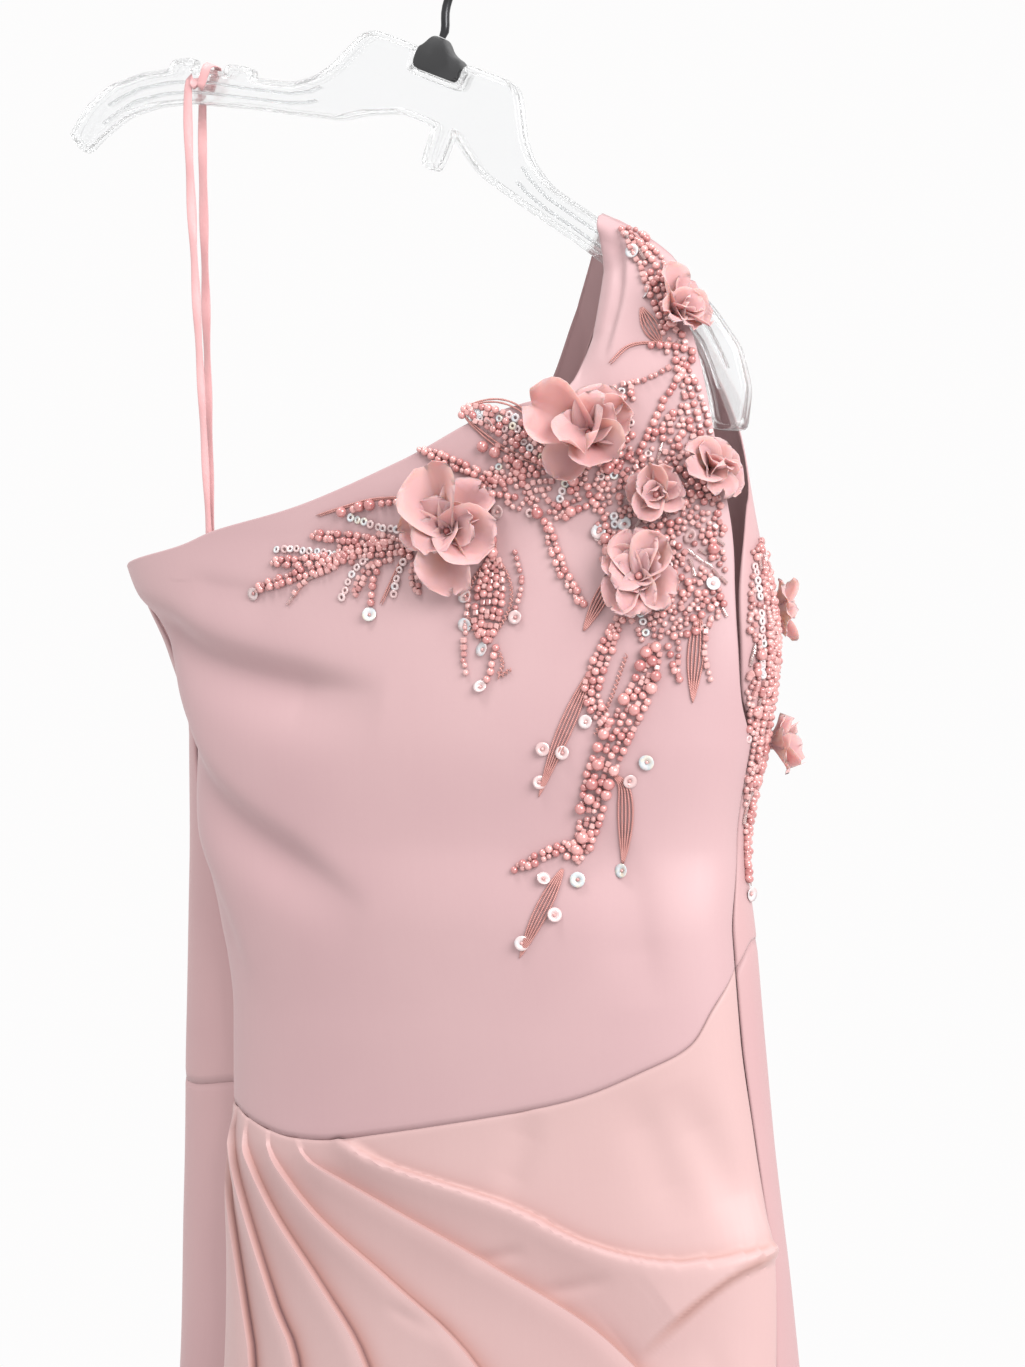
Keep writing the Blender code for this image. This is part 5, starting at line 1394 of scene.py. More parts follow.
class Needlework:
    """Beads and threads of one area, gathered first and then laid down as one piece."""

    def __init__(self, name: str, replaces: Sequence[str], seats: Callable[[Array], tuple[Array, Array]],
                 seed: int) -> None:
        """Args: the piece's name, the solids it stands for, its surface and its seed."""
        self.name, self.replaced, self.seats = name, tuple(replaces), seats
        self.rng = np.random.default_rng(seed)
        self.beads: dict[Bead, list[Array]] = {}
        self.skins: list[tuple[bmesh.types.BMesh, Finish]] = []
        self.taken: list[Array] = []

    def add(self, kind: Bead, spot: Array, facing: Array, along: Array, size: float = 1.0,
            tilt: float = 0.12) -> None:
        """Gathers one bead on a point of the cloth, its axis along the cloth's normal."""
        axis = unit(facing + self.rng.normal(0, tilt, 3))
        side = unit(np.cross(axis, along))
        width = kind.width * size * self.rng.uniform(0.92, 1.07)
        frame = np.stack((np.cross(side, axis), side, axis), axis=1) * width
        place = spot + facing * kind.lift * width
        self.beads.setdefault(kind, []).append(np.concatenate((frame, place[:, None]), axis=1))
        self.taken.append(np.append(place, width))

    def row(self, points: Sequence[Spot], kinds: Sequence[Bead], rows: int = 1,
            size: float = 1.0) -> None:
        """Lays rows of beads along a line of the cloth.

        Args:
            points: the line.
            kinds: the kinds of bead, picked at random.
            rows: how many rows lie side by side.
            size: how large the beads are beside their own width.
        """
        pitch = sum(kind.pitch for kind in kinds) / len(kinds) * size
        for k in range(rows):
            line = smooth_line(points, 0.0008)
            taper = np.sin(pi * np.linspace(0.08, 0.92, len(line))) ** 0.6
            beside = (k - (rows - 1) / 2) * pitch * 0.92 * taper
            line = line + left_of(unit(np.gradient(line, axis=0))) * beside[:, None]
            places, facing = self.seats(line)
            along = travelled(places)
            at = 0.5 * pitch * (k % 2)
            while at < along[-1]:
                kind = kinds[self.rng.integers(len(kinds))]
                i = int(np.searchsorted(along, at))
                j = min(i + 1, len(line) - 1)
                run = unit(places[j] - places[max(j - 2, 0)])
                shift = self.rng.normal(0, 0.00022, 3)
                self.add(kind, places[i] + shift, facing[i], run, size)
                at += kind.pitch * size * self.rng.uniform(0.96, 1.08)

    def thread(self, points: Sequence[Spot], radius: float = 0.00045, lift: float = 0.0003,
               finish: Finish = Finish.THREAD, coil: float = 0.0) -> None:
        """Lays a thread along a line of the cloth, wound like a spring if it is coiled."""
        line = smooth_line(points, 0.0007 if coil else 0.0016)
        places, facing = self.seats(line)
        steps = np.arange(len(line))
        phase = (steps * 2.1)[:, None]
        path = places + facing * (lift + radius + coil * (0.5 + 0.5 * np.sin(phase)))
        if coil:
            way = unit(np.gradient(places, axis=0))
            path = path + np.cross(way, facing) * (coil * np.cos(phase))
        thick = radius * clip01(0.35 + to_ends(len(line)) * 0.3) * (1 + 0.12 * np.sin(steps * 1.7))
        self.skins.append((skin(tube_loops(path, facing, thick, 5 if coil else 6)), finish))

    def leaf(self, points: Sequence[Spot], half: float, lines: int = 3) -> None:
        """Outlines a leaf with threads that part and meet again along a line."""
        line = smooth_line(points, 0.0015)
        across = left_of(unit(np.gradient(line, axis=0)))
        bulge = np.sin(pi * np.linspace(0.03, 1, len(line)) ** 0.85) * half
        for k in range(lines):
            share = 2 * k / max(lines - 1, 1) - 1
            self.thread(line[::2] + across[::2] * (bulge[::2] * share)[:, None])

    def cups(self, points: Sequence[Spot]) -> None:
        """Sews single cup sequins with a seed bead in each hole."""
        places, facing = self.seats(np.array(points))
        upward = np.array((0.0, 0.0, 1.0))
        for place, face in zip(places, facing):
            self.add(Bead.CUP, place, face, upward, tilt=0.25)
            self.add(Bead.SEED, place + face * 0.0006, face, upward, 0.62)

    def fill(self, outline: Sequence[Spot], wanted: int, kinds: Sequence[tuple[Bead, ...]],
             gap: float) -> None:
        """Fills an outline with short meandering strands that keep clear of what lies there.

        Args:
            outline: the outline.
            wanted: how many strands are tried.
            kinds: sets of beads, one set for each strand.
            gap: the least distance between beads, beside their widths.
        """
        shape = np.array(outline)
        low, high = shape.min(axis=0), shape.max(axis=0)
        for _ in range(wanted):
            spot = self.rng.uniform(low, high)
            if not self.within(shape, spot):
                continue
            chosen = kinds[self.rng.integers(len(kinds))]
            picks = [chosen[self.rng.integers(len(chosen))] for _ in range(self.rng.integers(4, 11))]
            turns = self.rng.uniform(0, 2 * pi) + np.cumsum(self.rng.normal(0, 0.45, len(picks)))
            pitches = np.array([kind.pitch for kind in picks])[:, None]
            spots = spot + np.cumsum(pitches * np.stack((np.cos(turns), np.sin(turns)), 1), axis=0)
            places, facing = self.seats(spots)
            taken = np.array(self.taken).reshape(-1, 4)
            for i, kind in enumerate(picks):
                clear = (taken[:, 3] + kind.width) / 2 * gap
                near = np.linalg.norm(taken[:, :3] - places[i], axis=1) < clear
                if near.any() or not self.within(shape, spots[i]):
                    break
                run = places[i] - places[i - 1] if i else places[1] - places[0]
                self.add(kind, places[i], facing[i], run)

    @staticmethod
    def within(shape: Array, spot: Array) -> bool:
        """Returns: whether a spot lies inside an outline."""
        a, b = shape, np.roll(shape, -1, axis=0)
        crosses = (a[:, 1] > spot[1]) != (b[:, 1] > spot[1])
        with np.errstate(divide="ignore", invalid="ignore"):
            at = a[:, 0] + (spot[1] - a[:, 1]) / (b[:, 1] - a[:, 1]) * (b[:, 0] - a[:, 0])
        return bool(np.sum(crosses & (spot[0] < at)) % 2)

    def lay(self, slot: str, extra: Sequence[tuple[bmesh.types.BMesh, Finish]] = ()) -> bpy.types.Object:
        """Returns: the finished piece of everything gathered, and of any extra skins."""
        used = [finish for _, finish in (*extra, *self.skins)] + [kind.finish for kind in self.beads]
        finishes = list(dict.fromkeys(used))
        bm = bmesh.new()
        bm.verts.layers.float.new("rim")
        bm.loops.layers.uv.new("cloth")
        for part, finish in (*extra, *self.skins):
            for face in part.faces:
                face.material_index, face.smooth = finishes.index(finish), True
            piece = mesh_of("part", part, False)
            bm.from_mesh(piece)
            bpy.data.meshes.remove(piece)
        start = len(bm.verts)
        coordinates, tones = [], [np.full(start, 0.5)]
        for kind, frames in self.beads.items():
            mesh = kind.template()
            number = finishes.index(kind.finish)
            mesh.polygons.foreach_set("material_index", np.full(len(mesh.polygons), number))
            for _ in frames:
                bm.from_mesh(mesh)
            frames = np.array(frames)
            turned = np.einsum("kij,nj->kni", frames[:, :, :3], read_points(mesh))
            coordinates.append((turned + frames[:, None, :, 3]).reshape(-1, 3))
            tones.append(self.rng.uniform(0, 1, len(frames)).repeat(len(mesh.vertices)))
            bpy.data.meshes.remove(mesh)
        mesh = mesh_of(self.name, bm, False)
        if coordinates:
            co = read_points(mesh)
            co[start:] = np.concatenate(coordinates)
            mesh.vertices.foreach_set("co", co.ravel())
        store(mesh, "tone", np.concatenate(tones))
        return put_up(self.name, mesh, finishes, slot, self.replaced)


@dataclass
class Flower:
    """A chiffon flower: layers of cupped petals round a few beads, standing off the cloth.

    The spot is (x, z) on the front, or (degrees / 100, z) on the rear. A layer holds how many petals
    it has, their length beside the radius, and their rise at the foot and the tip in degrees.
    """

    node: str
    spot: Spot
    radius: float
    height: float
    turn: float
    roll: float
    layers: tuple[tuple[int, float, float, float], ...]
    rear: bool = False
    seed: int = 1

    def build(self, form: DressForm) -> None:
        """Builds the flower on its seat."""
        rng = np.random.default_rng(self.seed)
        outer, facing = (form.back_seats if self.rear else form.front_seats)(np.array(self.spot))
        axis = Matrix.Rotation(radians(self.turn), 3, "Z") @ Vector(facing[0])
        axis = (axis + Vector(rng.normal(0, 0.1, 3))).normalized()
        side = axis.cross(Vector((0.0, 0.0, 1.0))).normalized()
        frame = np.array(Matrix((side, axis.cross(side), axis)).transposed())
        base = outer[0] + np.array(axis) * 0.0012
        work = Needlework(self.node + "_petals", (self.node,), form.front_seats, self.seed)
        petals = []
        for layer, (count, share, low, high) in enumerate(self.layers):
            for k in range(count):
                around = self.roll + 2 * pi * (k + 0.5 * layer + rng.normal(0, 0.13)) / count
                length = share * self.radius * rng.uniform(0.8, 1.14)
                first, last = low + rng.normal(0, 9), high + rng.normal(0, 9)
                petal = self.petal(rng, around, length, first, last, frame, base)
                petals.append((petal, Finish.PETAL))
        for k in range(6):
            spread = 0.0 if k == 0 else 0.0023
            at = np.array((cos(k * 1.26) * spread, sin(k * 1.26) * spread, 0.0022 + 0.0014 * (k == 0)))
            work.add(Bead.PEARL if k == 0 else Bead.SEED, base + frame @ at, np.array(axis), np.array(side))
        work.lay("petal", petals)

    @staticmethod
    def petal(rng: np.random.Generator, around: float, length: float, low: float, high: float,
              frame: Array, base: Array) -> bmesh.types.BMesh:
        """Makes one petal.

        Args:
            rng: the flower's random numbers.
            around: the petal's direction round the flower.
            length: its length along the cloth.
            low: its rise at the foot, in degrees.
            high: its rise at the tip, in degrees.
            frame: the flower's axes, as columns.
            base: the flower's foot.
        Returns:
            The petal as a thin closed shell, with its rim and cloth coordinates kept.
        """
        bm = bmesh.new()
        rims = bm.verts.layers.float.new("rim")
        bmesh.ops.create_grid(bm, x_segments=8, y_segments=10, size=1.0, calc_uvs=False)
        wide = length * rng.uniform(0.86, 1.04)
        cup, wave, phase = rng.uniform(0.2, 0.42), rng.uniform(0.05, 0.11), rng.uniform(0, 6.3)
        fold, notch = rng.choice((0.0, 0.0, 0.34)), rng.choice((0.0, 0.0, 0.14))
        skew = rng.uniform(-0.16, 0.16)
        widest = 0.62
        steps = np.linspace(0, 1, 60)
        angle = np.radians(low + (high - low) * steps**0.8)
        out, up = (np.concatenate(([0], np.cumsum(part[:-1]))) / (len(steps) - 1) * length
                   for part in (np.cos(angle), np.sin(angle)))
        flat, turned = {}, (cos(around), sin(around))
        for vert in bm.verts:
            s, t = vert.co.x, 0.02 + 0.965 * (vert.co.y + 1) / 2
            half = widest if t < widest else 1 - widest
            body = max(1 - abs((t - widest) / half) ** 2.3, 0) ** 0.5
            across = wide / 2 * body * (min(0.3 + 0.7 * t / widest, 1.0)) * s
            lean = np.interp(t, steps, angle)
            rise = wide * (cup * s * s * sin(pi * min(t + 0.15, 1)) ** 0.5 + fold * abs(s) * t
                           + wave * sin(3.4 * s + 4.5 * t + phase) * t * t)
            back = notch * length * np.exp(-(s / 0.22) ** 2) * t**8
            r = np.interp(t, steps, out) - rise * sin(lean) - back * cos(lean)
            h = np.interp(t, steps, up) + rise * cos(lean) - back * sin(lean)
            across = across * (1 - 0.1 * cup * s * s) + skew * length * t * t
            vert[rims] = max(abs(s) ** 3, t**5)
            flat[vert.index] = (across, t * length)
            local = (turned[0] * r - turned[1] * across, turned[1] * r + turned[0] * across, h)
            vert.co = base + frame @ np.array(local)
        cloth = bm.loops.layers.uv.new("cloth")
        bm.verts.index_update()
        for face in bm.faces:
            for loop in face.loops:
                loop[cloth].uv = flat[loop.vert.index]
        bmesh.ops.solidify(bm, geom=bm.faces[:], thickness=0.00028)
        bmesh.ops.recalc_face_normals(bm, faces=bm.faces)
        return bm


OUTER = (5, 1.26, 32.0, 8.0)
INNER = (3, 1.02, 66.0, 30.0)
FLOWERS: tuple[Flower, ...] = (
    Flower("flower_shoulder", (0.1255, -0.212), 0.0165, 0.02, 40, 0.4,
           ((5, 1.2, 52.0, 20.0), (3, 1.0, 82.0, 62.0)), seed=11),
    Flower("flower_peak", (0.0965, -0.266), 0.0225, 0.013, 0, 0.9, (OUTER, INNER), seed=12),
    Flower("flower_large", (0.029, -0.3085), 0.0235, 0.0135, 0, 0.2, (OUTER, INNER), seed=13),
    Flower("flower_small", (0.126, -0.293), 0.015, 0.012, 0, 1.3,
           ((5, 1.05, 46.0, 14.0), (3, 0.85, 76.0, 50.0)), seed=14),
    Flower("flower_armhole", (0.144, -0.283), 0.0165, 0.019, 35, 0.0,
           ((5, 1.2, 52.0, 18.0), (3, 1.05, 84.0, 66.0)), seed=15),
    Flower("flower_centre", (0.121, -0.331), 0.02, 0.0125, 0, 0.6,
           ((6, 1.05, 40.0, 6.0), (4, 0.8, 70.0, 34.0)), seed=16),
    Flower("flower_side_upper", (0.24, -0.344), 0.0165, 0.015, -20, 0.3,
           ((5, 1.15, 52.0, 22.0), (2, 0.9, 80.0, 60.0)), rear=True, seed=17),
    Flower("flower_side_lower", (0.2, -0.403), 0.015, 0.014, -20, 0.8,
           ((5, 1.15, 52.0, 22.0), (2, 0.9, 80.0, 60.0)), rear=True, seed=18))


class Style(Enum):
    """How a strand is worked: in words, its kinds of bead, its rows and the size of its beads."""

    RINGS = ("a chain of ring sequins", (Bead.RING,))
    SEEDS = ("a row of seed beads with cubes", (Bead.SEED, Bead.SEED, Bead.CUBE))
    PEARLS = ("a row of pearls", (Bead.PEARL,))
    BIG = ("a row of large pearls", (Bead.BIG, Bead.PEARL))
    PAIR = ("two rows of pearls", (Bead.PEARL, Bead.PEARL, Bead.SEED), 2)
    TRIPLE = ("three mixed rows", (Bead.PEARL, Bead.SEED, Bead.CUBE, Bead.PEARL), 3)
    DENSE = ("four mixed rows with larger pearls",
             (Bead.PEARL, Bead.PEARL, Bead.SEED, Bead.CUBE, Bead.BIG), 4)
    CUBES = ("two rows of cube beads", (Bead.CUBE,), 2, 0.95)
    CRYSTALS = ("crystals beside a thread", (Bead.BUGLE, Bead.CUBE))
    SPRIG = ("a thread leaf filled with beads",
             (Bead.CUBE, Bead.PEARL, Bead.CUBE, Bead.PEARL, Bead.RING), 4)
    DROP = ("an oval lattice in a wound outline", (Bead.CUBE, Bead.PEARL), 5)
    THREAD = ("a thread",)
    LEAF = ("a thread leaf",)
    COIL = ("a wound thread",)
    CUPS = ("single cup sequins",)

    def __init__(self, words: str, kinds: tuple[Bead, ...] = (), rows: int = 1,
                 size: float = 1.0) -> None:
        """Args: the fields named above."""
        self.words, self.kinds, self.rows, self.size = words, kinds, rows, size

    def work(self, cloth: Needlework, points: Sequence[Spot]) -> None:
        """Works the strand on the cloth."""
        log.debug("%s: %s", cloth.name, self.words)
        if self.kinds:
            cloth.row(points, self.kinds, self.rows, self.size)
        if self is Style.CRYSTALS:
            cloth.thread([(x + 0.0022, z + 0.0012) for x, z in points])
        elif self is Style.THREAD:
            cloth.thread(points)
            cloth.thread([(x + 0.0009, z - 0.0006) for x, z in points], 0.00035)
        elif self is Style.LEAF:
            cloth.leaf(points, 0.003, 5)
        elif self is Style.SPRIG:
            cloth.leaf(points, 0.0088, 2)
            cloth.leaf(points, 0.0105, 2)
        elif self is Style.COIL:
            cloth.thread(points, 0.00042, 0.0002, coil=0.001)
        elif self is Style.CUPS:
            cloth.cups(points)
        elif self is Style.DROP:
            line = smooth_line(points, 0.002)
            bulge = np.sin(pi * np.linspace(0.02, 0.98, len(line))) ** 0.7 * 0.0108
            for sign in (-1, 1):
                side = line + np.stack((bulge * sign, 0 * bulge), 1)
                cloth.thread(list(side), 0.00042, coil=0.0009)


MIXES = ((Bead.PEARL,), (Bead.SEED, Bead.PEARL), (Bead.SEED,), (Bead.CUBE, Bead.SEED), (Bead.BUGLE,),
         (Bead.PEARL, Bead.CUBE), (Bead.PEARL, Bead.BIG), (Bead.PEARL,), (Bead.RING,))
SMALL_MIXES = ((Bead.SEED,), (Bead.SEED, Bead.CUBE))


@dataclass(frozen=True)
class Area:
    """One beaded area: its strands, and outlines filled with so many short strands.

    The spots are (x, z) on the front, or (degrees / 100, z) on the rear.
    """

    name: str
    replaces: tuple[str, ...]
    strands: tuple[tuple[Style, tuple[Spot, ...]], ...]
    fills: tuple[tuple[int, tuple[Spot, ...]], ...] = ()
    rear: bool = False
    seed: int = 1

    def build(self, form: DressForm) -> None:
        """Builds the area as one piece."""
        seats = form.back_seats if self.rear else form.front_seats
        cloth = Needlework(self.name, self.replaces, seats, self.seed)
        for style, points in self.strands:
            style.work(cloth, points)
        for wanted, outline in self.fills:
            cloth.fill(outline, wanted, MIXES, 0.86)
            cloth.fill(outline, wanted, SMALL_MIXES, 0.8)
        cloth.lay("trim")


AREAS: tuple[Area, ...] = (
    Area("beading_fan", ("trim_fan_top", "trim_fan_upper", "trim_fan_lower", "trim_fan_leaf"), (
        (Style.THREAD, ((-0.044, -0.298), (-0.0309, -0.2949), (-0.0132, -0.2913), (0.0042, -0.2909))),
        (Style.BIG, ((-0.029, -0.2975), (-0.0132, -0.294), (0.0042, -0.2937), (0.016, -0.296))),
        (Style.RINGS, ((-0.0247, -0.2993), (-0.0086, -0.3044), (0.0118, -0.3073))),
        (Style.PAIR, ((-0.0455, -0.3071), (-0.0251, -0.3091), (-0.0031, -0.3129))),
        (Style.RINGS, ((-0.0666, -0.3131), (-0.0489, -0.3145), (-0.0323, -0.3169))),
        (Style.PAIR, ((-0.0683, -0.3194), (-0.0488, -0.3198), (-0.0294, -0.3174))),
        (Style.PAIR, ((-0.0774, -0.3324), (-0.053, -0.3263), (-0.0305, -0.3202))),
        (Style.RINGS, ((-0.0265, -0.3372), (-0.0223, -0.3264), (-0.0122, -0.3164))),
        (Style.CUBES, ((-0.0194, -0.3359), (-0.016, -0.328), (-0.0089, -0.3207))),
        (Style.CRYSTALS, ((-0.0561, -0.3381), (-0.0491, -0.3301), (-0.0304, -0.3221))),
        (Style.PEARLS, ((-0.01, -0.3402), (-0.0097, -0.3304), (-0.0073, -0.3207))),
        (Style.CUPS, ((-0.0102, -0.3455), (-0.079, -0.3342))),
        (Style.THREAD, ((-0.0051, -0.3403), (0.0007, -0.3269), (0.0061, -0.3145))),
        (Style.RINGS, ((0.0018, -0.3362), (0.0029, -0.3279), (0.0062, -0.3196))),
        (Style.CUBES, ((0.0144, -0.3355), (0.012, -0.3285), (0.0105, -0.3211))),
        (Style.TRIPLE, ((-0.03, -0.3165), (-0.012, -0.315), (0.005, -0.3134), (0.0234, -0.3067)))), (
        (120, ((-0.03, -0.309), (-0.005, -0.303), (0.015, -0.306), (0.01, -0.32), (-0.015, -0.323),
               (-0.032, -0.321))),), seed=21),
    Area("beading_peak", ("trim_peak_leaf", "trim_peak_string"), (
        (Style.PAIR, ((0.013, -0.2687), (0.0334, -0.2777), (0.0547, -0.2857))),
        (Style.PEARLS, ((0.0247, -0.2866), (0.0437, -0.2899), (0.0607, -0.2927))),
        (Style.LEAF, ((0.029, -0.2905), (0.038, -0.2925), (0.05, -0.2928))),
        (Style.BIG, ((0.0451, -0.2695), (0.0561, -0.2749), (0.0675, -0.2803))),
        (Style.SPRIG, ((0.0348, -0.2522), (0.056, -0.26), (0.0829, -0.2808))),
        (Style.PAIR, ((0.0885, -0.2778), (0.0685, -0.2817), (0.0437, -0.2877))),
        (Style.CUPS, ((0.0523, -0.2993), (0.1005, -0.3094), (0.048, -0.26), (0.0948, -0.2739)))), (
        (500, ((0.0436, -0.2845), (0.0536, -0.2667), (0.0816, -0.254), (0.098, -0.2475), (0.1139, -0.2408),
               (0.1176, -0.2685), (0.1018, -0.2952), (0.0831, -0.3037), (0.0588, -0.2985))),), seed=22),
    Area("beading_drop", ("trim_drop_large",), (
        (Style.DROP, ((0.0516, -0.321), (0.051, -0.3424), (0.0502, -0.3574))),
        (Style.THREAD, ((0.048, -0.301), (0.0505, -0.31), (0.0516, -0.321))),
        (Style.BIG, ((0.05, -0.308), (0.0513, -0.319))),
        (Style.SEEDS, ((0.062, -0.318), (0.066, -0.332), (0.064, -0.344))),
        (Style.CUPS, ((0.0644, -0.3475), (0.0496, -0.3619), (0.0496, -0.3786), (0.0389, -0.3377),
                      (0.0401, -0.3505))),
        (Style.COIL, ((0.0579, -0.3628), (0.06, -0.369), (0.0581, -0.3741), (0.0642, -0.3705))),
        (Style.SEEDS, ((0.0406, -0.3391), (0.0401, -0.3618), (0.0425, -0.3745))),
        (Style.PEARLS, ((0.056, -0.361), (0.0545, -0.37), (0.0525, -0.376)))), seed=23),
    Area("beading_centre", ("trim_yoke", "trim_neck_spray", "trim_side_row", "trim_armhole_row",
                            "trim_arch"), (
        (Style.PEARLS, ((0.136, -0.2325), (0.1268, -0.2526), (0.1175, -0.2753))),
        (Style.THREAD, ((0.1024, -0.2336), (0.111, -0.2254), (0.1256, -0.2248), (0.1354, -0.227))),
        (Style.PEARLS, ((0.12, -0.2262), (0.129, -0.2268), (0.136, -0.229))),
        (Style.SEEDS, ((0.1096, -0.2435), (0.1198, -0.2414), (0.128, -0.2365))),
        (Style.TRIPLE, ((0.132, -0.2325), (0.139, -0.2538), (0.1455, -0.2849), (0.149, -0.2983))),
        (Style.CUPS, ((0.14, -0.312), (0.15, -0.333), (0.112, -0.306)))), (
        (1500, ((0.1015, -0.2817), (0.1176, -0.2685), (0.1361, -0.2505), (0.1435, -0.26), (0.151, -0.2961),
               (0.1545, -0.3226), (0.156, -0.3446), (0.1429, -0.3578), (0.122, -0.3578), (0.102, -0.322),
               (0.0972, -0.2951))),), seed=24),
    Area("beading_long", ("trim_thread_leaf", "trim_long_drop", "trim_long_tip", "trim_side_tip",
                          "trim_short_drop"), (
        (Style.PAIR, ((0.0759, -0.3035), (0.0823, -0.3216), (0.0954, -0.3416))),
        (Style.LEAF, ((0.1108, -0.3252), (0.1031, -0.3399), (0.0961, -0.355))),
        (Style.TRIPLE, ((0.1123, -0.3489), (0.1016, -0.3799), (0.1093, -0.3963))),
        (Style.LEAF, ((0.1013, -0.3706), (0.0898, -0.3977), (0.0771, -0.4277))),
        (Style.CUPS, ((0.0798, -0.4062), (0.0889, -0.4079), (0.0779, -0.421), (0.0992, -0.3941))),
        (Style.DENSE, ((0.1281, -0.3609), (0.1229, -0.3799), (0.1114, -0.4033), (0.1038, -0.4203),
                       (0.0977, -0.444), (0.0907, -0.4561))),
        (Style.PEARLS, ((0.1335, -0.3609), (0.1357, -0.3688), (0.1382, -0.375))),
        (Style.CUPS, ((0.1249, -0.4117), (0.1174, -0.4201), (0.1128, -0.46))),
        (Style.LEAF, ((0.1108, -0.4175), (0.115, -0.4251), (0.1128, -0.4584))),
        (Style.PAIR, ((0.0654, -0.4602), (0.0767, -0.4551), (0.0893, -0.4481))),
        (Style.LEAF, ((0.0873, -0.4597), (0.0803, -0.4758), (0.0686, -0.4999))),
        (Style.CUPS, ((0.0791, -0.4643), (0.0944, -0.4644), (0.0851, -0.4801), (0.07, -0.493))),
        (Style.LEAF, ((0.1454, -0.3468), (0.1446, -0.3667), (0.1436, -0.3856))),
        (Style.SEEDS, ((0.138, -0.3587), (0.1382, -0.375))),
        (Style.SEEDS, ((0.15, -0.348), (0.148, -0.36), (0.15, -0.376))),
        (Style.COIL, ((0.1165, -0.364), (0.1105, -0.383), (0.1035, -0.4)))), seed=25),
    Area("beading_strap", ("trim_shoulder_edge", "trim_strap_drop"), (
        (Style.TRIPLE, ((0.115, -0.193), (0.1215, -0.205), (0.127, -0.218))),
        (Style.PAIR, ((0.0985, -0.1702), (0.1048, -0.1737), (0.111, -0.1785))),
        (Style.CRYSTALS, ((0.1, -0.1728), (0.1062, -0.178), (0.111, -0.184))),
        (Style.PAIR, ((0.109, -0.178), (0.1175, -0.186), (0.125, -0.198))),
        (Style.SEEDS, ((0.103, -0.177), (0.1095, -0.187), (0.114, -0.198))),
        (Style.CUPS, ((0.106, -0.1815), (0.115, -0.201))),
        (Style.LEAF, ((0.124, -0.225), (0.118, -0.216), (0.113, -0.207)))), (
        (200, ((0.1075, -0.179), (0.112, -0.1765), (0.1225, -0.188), (0.128, -0.203), (0.1315, -0.215),
               (0.134, -0.23), (0.1265, -0.231), (0.121, -0.215), (0.1145, -0.197))),
        (60, ((0.0995, -0.17), (0.105, -0.1712), (0.1125, -0.1765), (0.1085, -0.181), (0.101, -0.176)))),
         seed=26),
    Area("beading_back", ("trim_back_high", "trim_back_low"), (
        (Style.TRIPLE, ((0.06, -0.327), (0.055, -0.36), (0.045, -0.395), (0.04, -0.43), (0.02, -0.465))),
        (Style.PEARLS, ((0.11, -0.333), (0.105, -0.365), (0.1, -0.39), (0.07, -0.415))),
        (Style.LEAF, ((0.08, -0.425), (0.075, -0.445), (0.07, -0.47))),
        (Style.CUPS, ((0.13, -0.37), (0.14, -0.385), (0.03, -0.472)))), (
        (1500, ((-0.14, -0.345), (-0.06, -0.318), (0.05, -0.312), (0.15, -0.322), (0.19, -0.36),
                (0.17, -0.4), (0.12, -0.435), (0.05, -0.46), (0.0, -0.44), (-0.06, -0.415),
                (-0.14, -0.38))),), rear=True, seed=27))


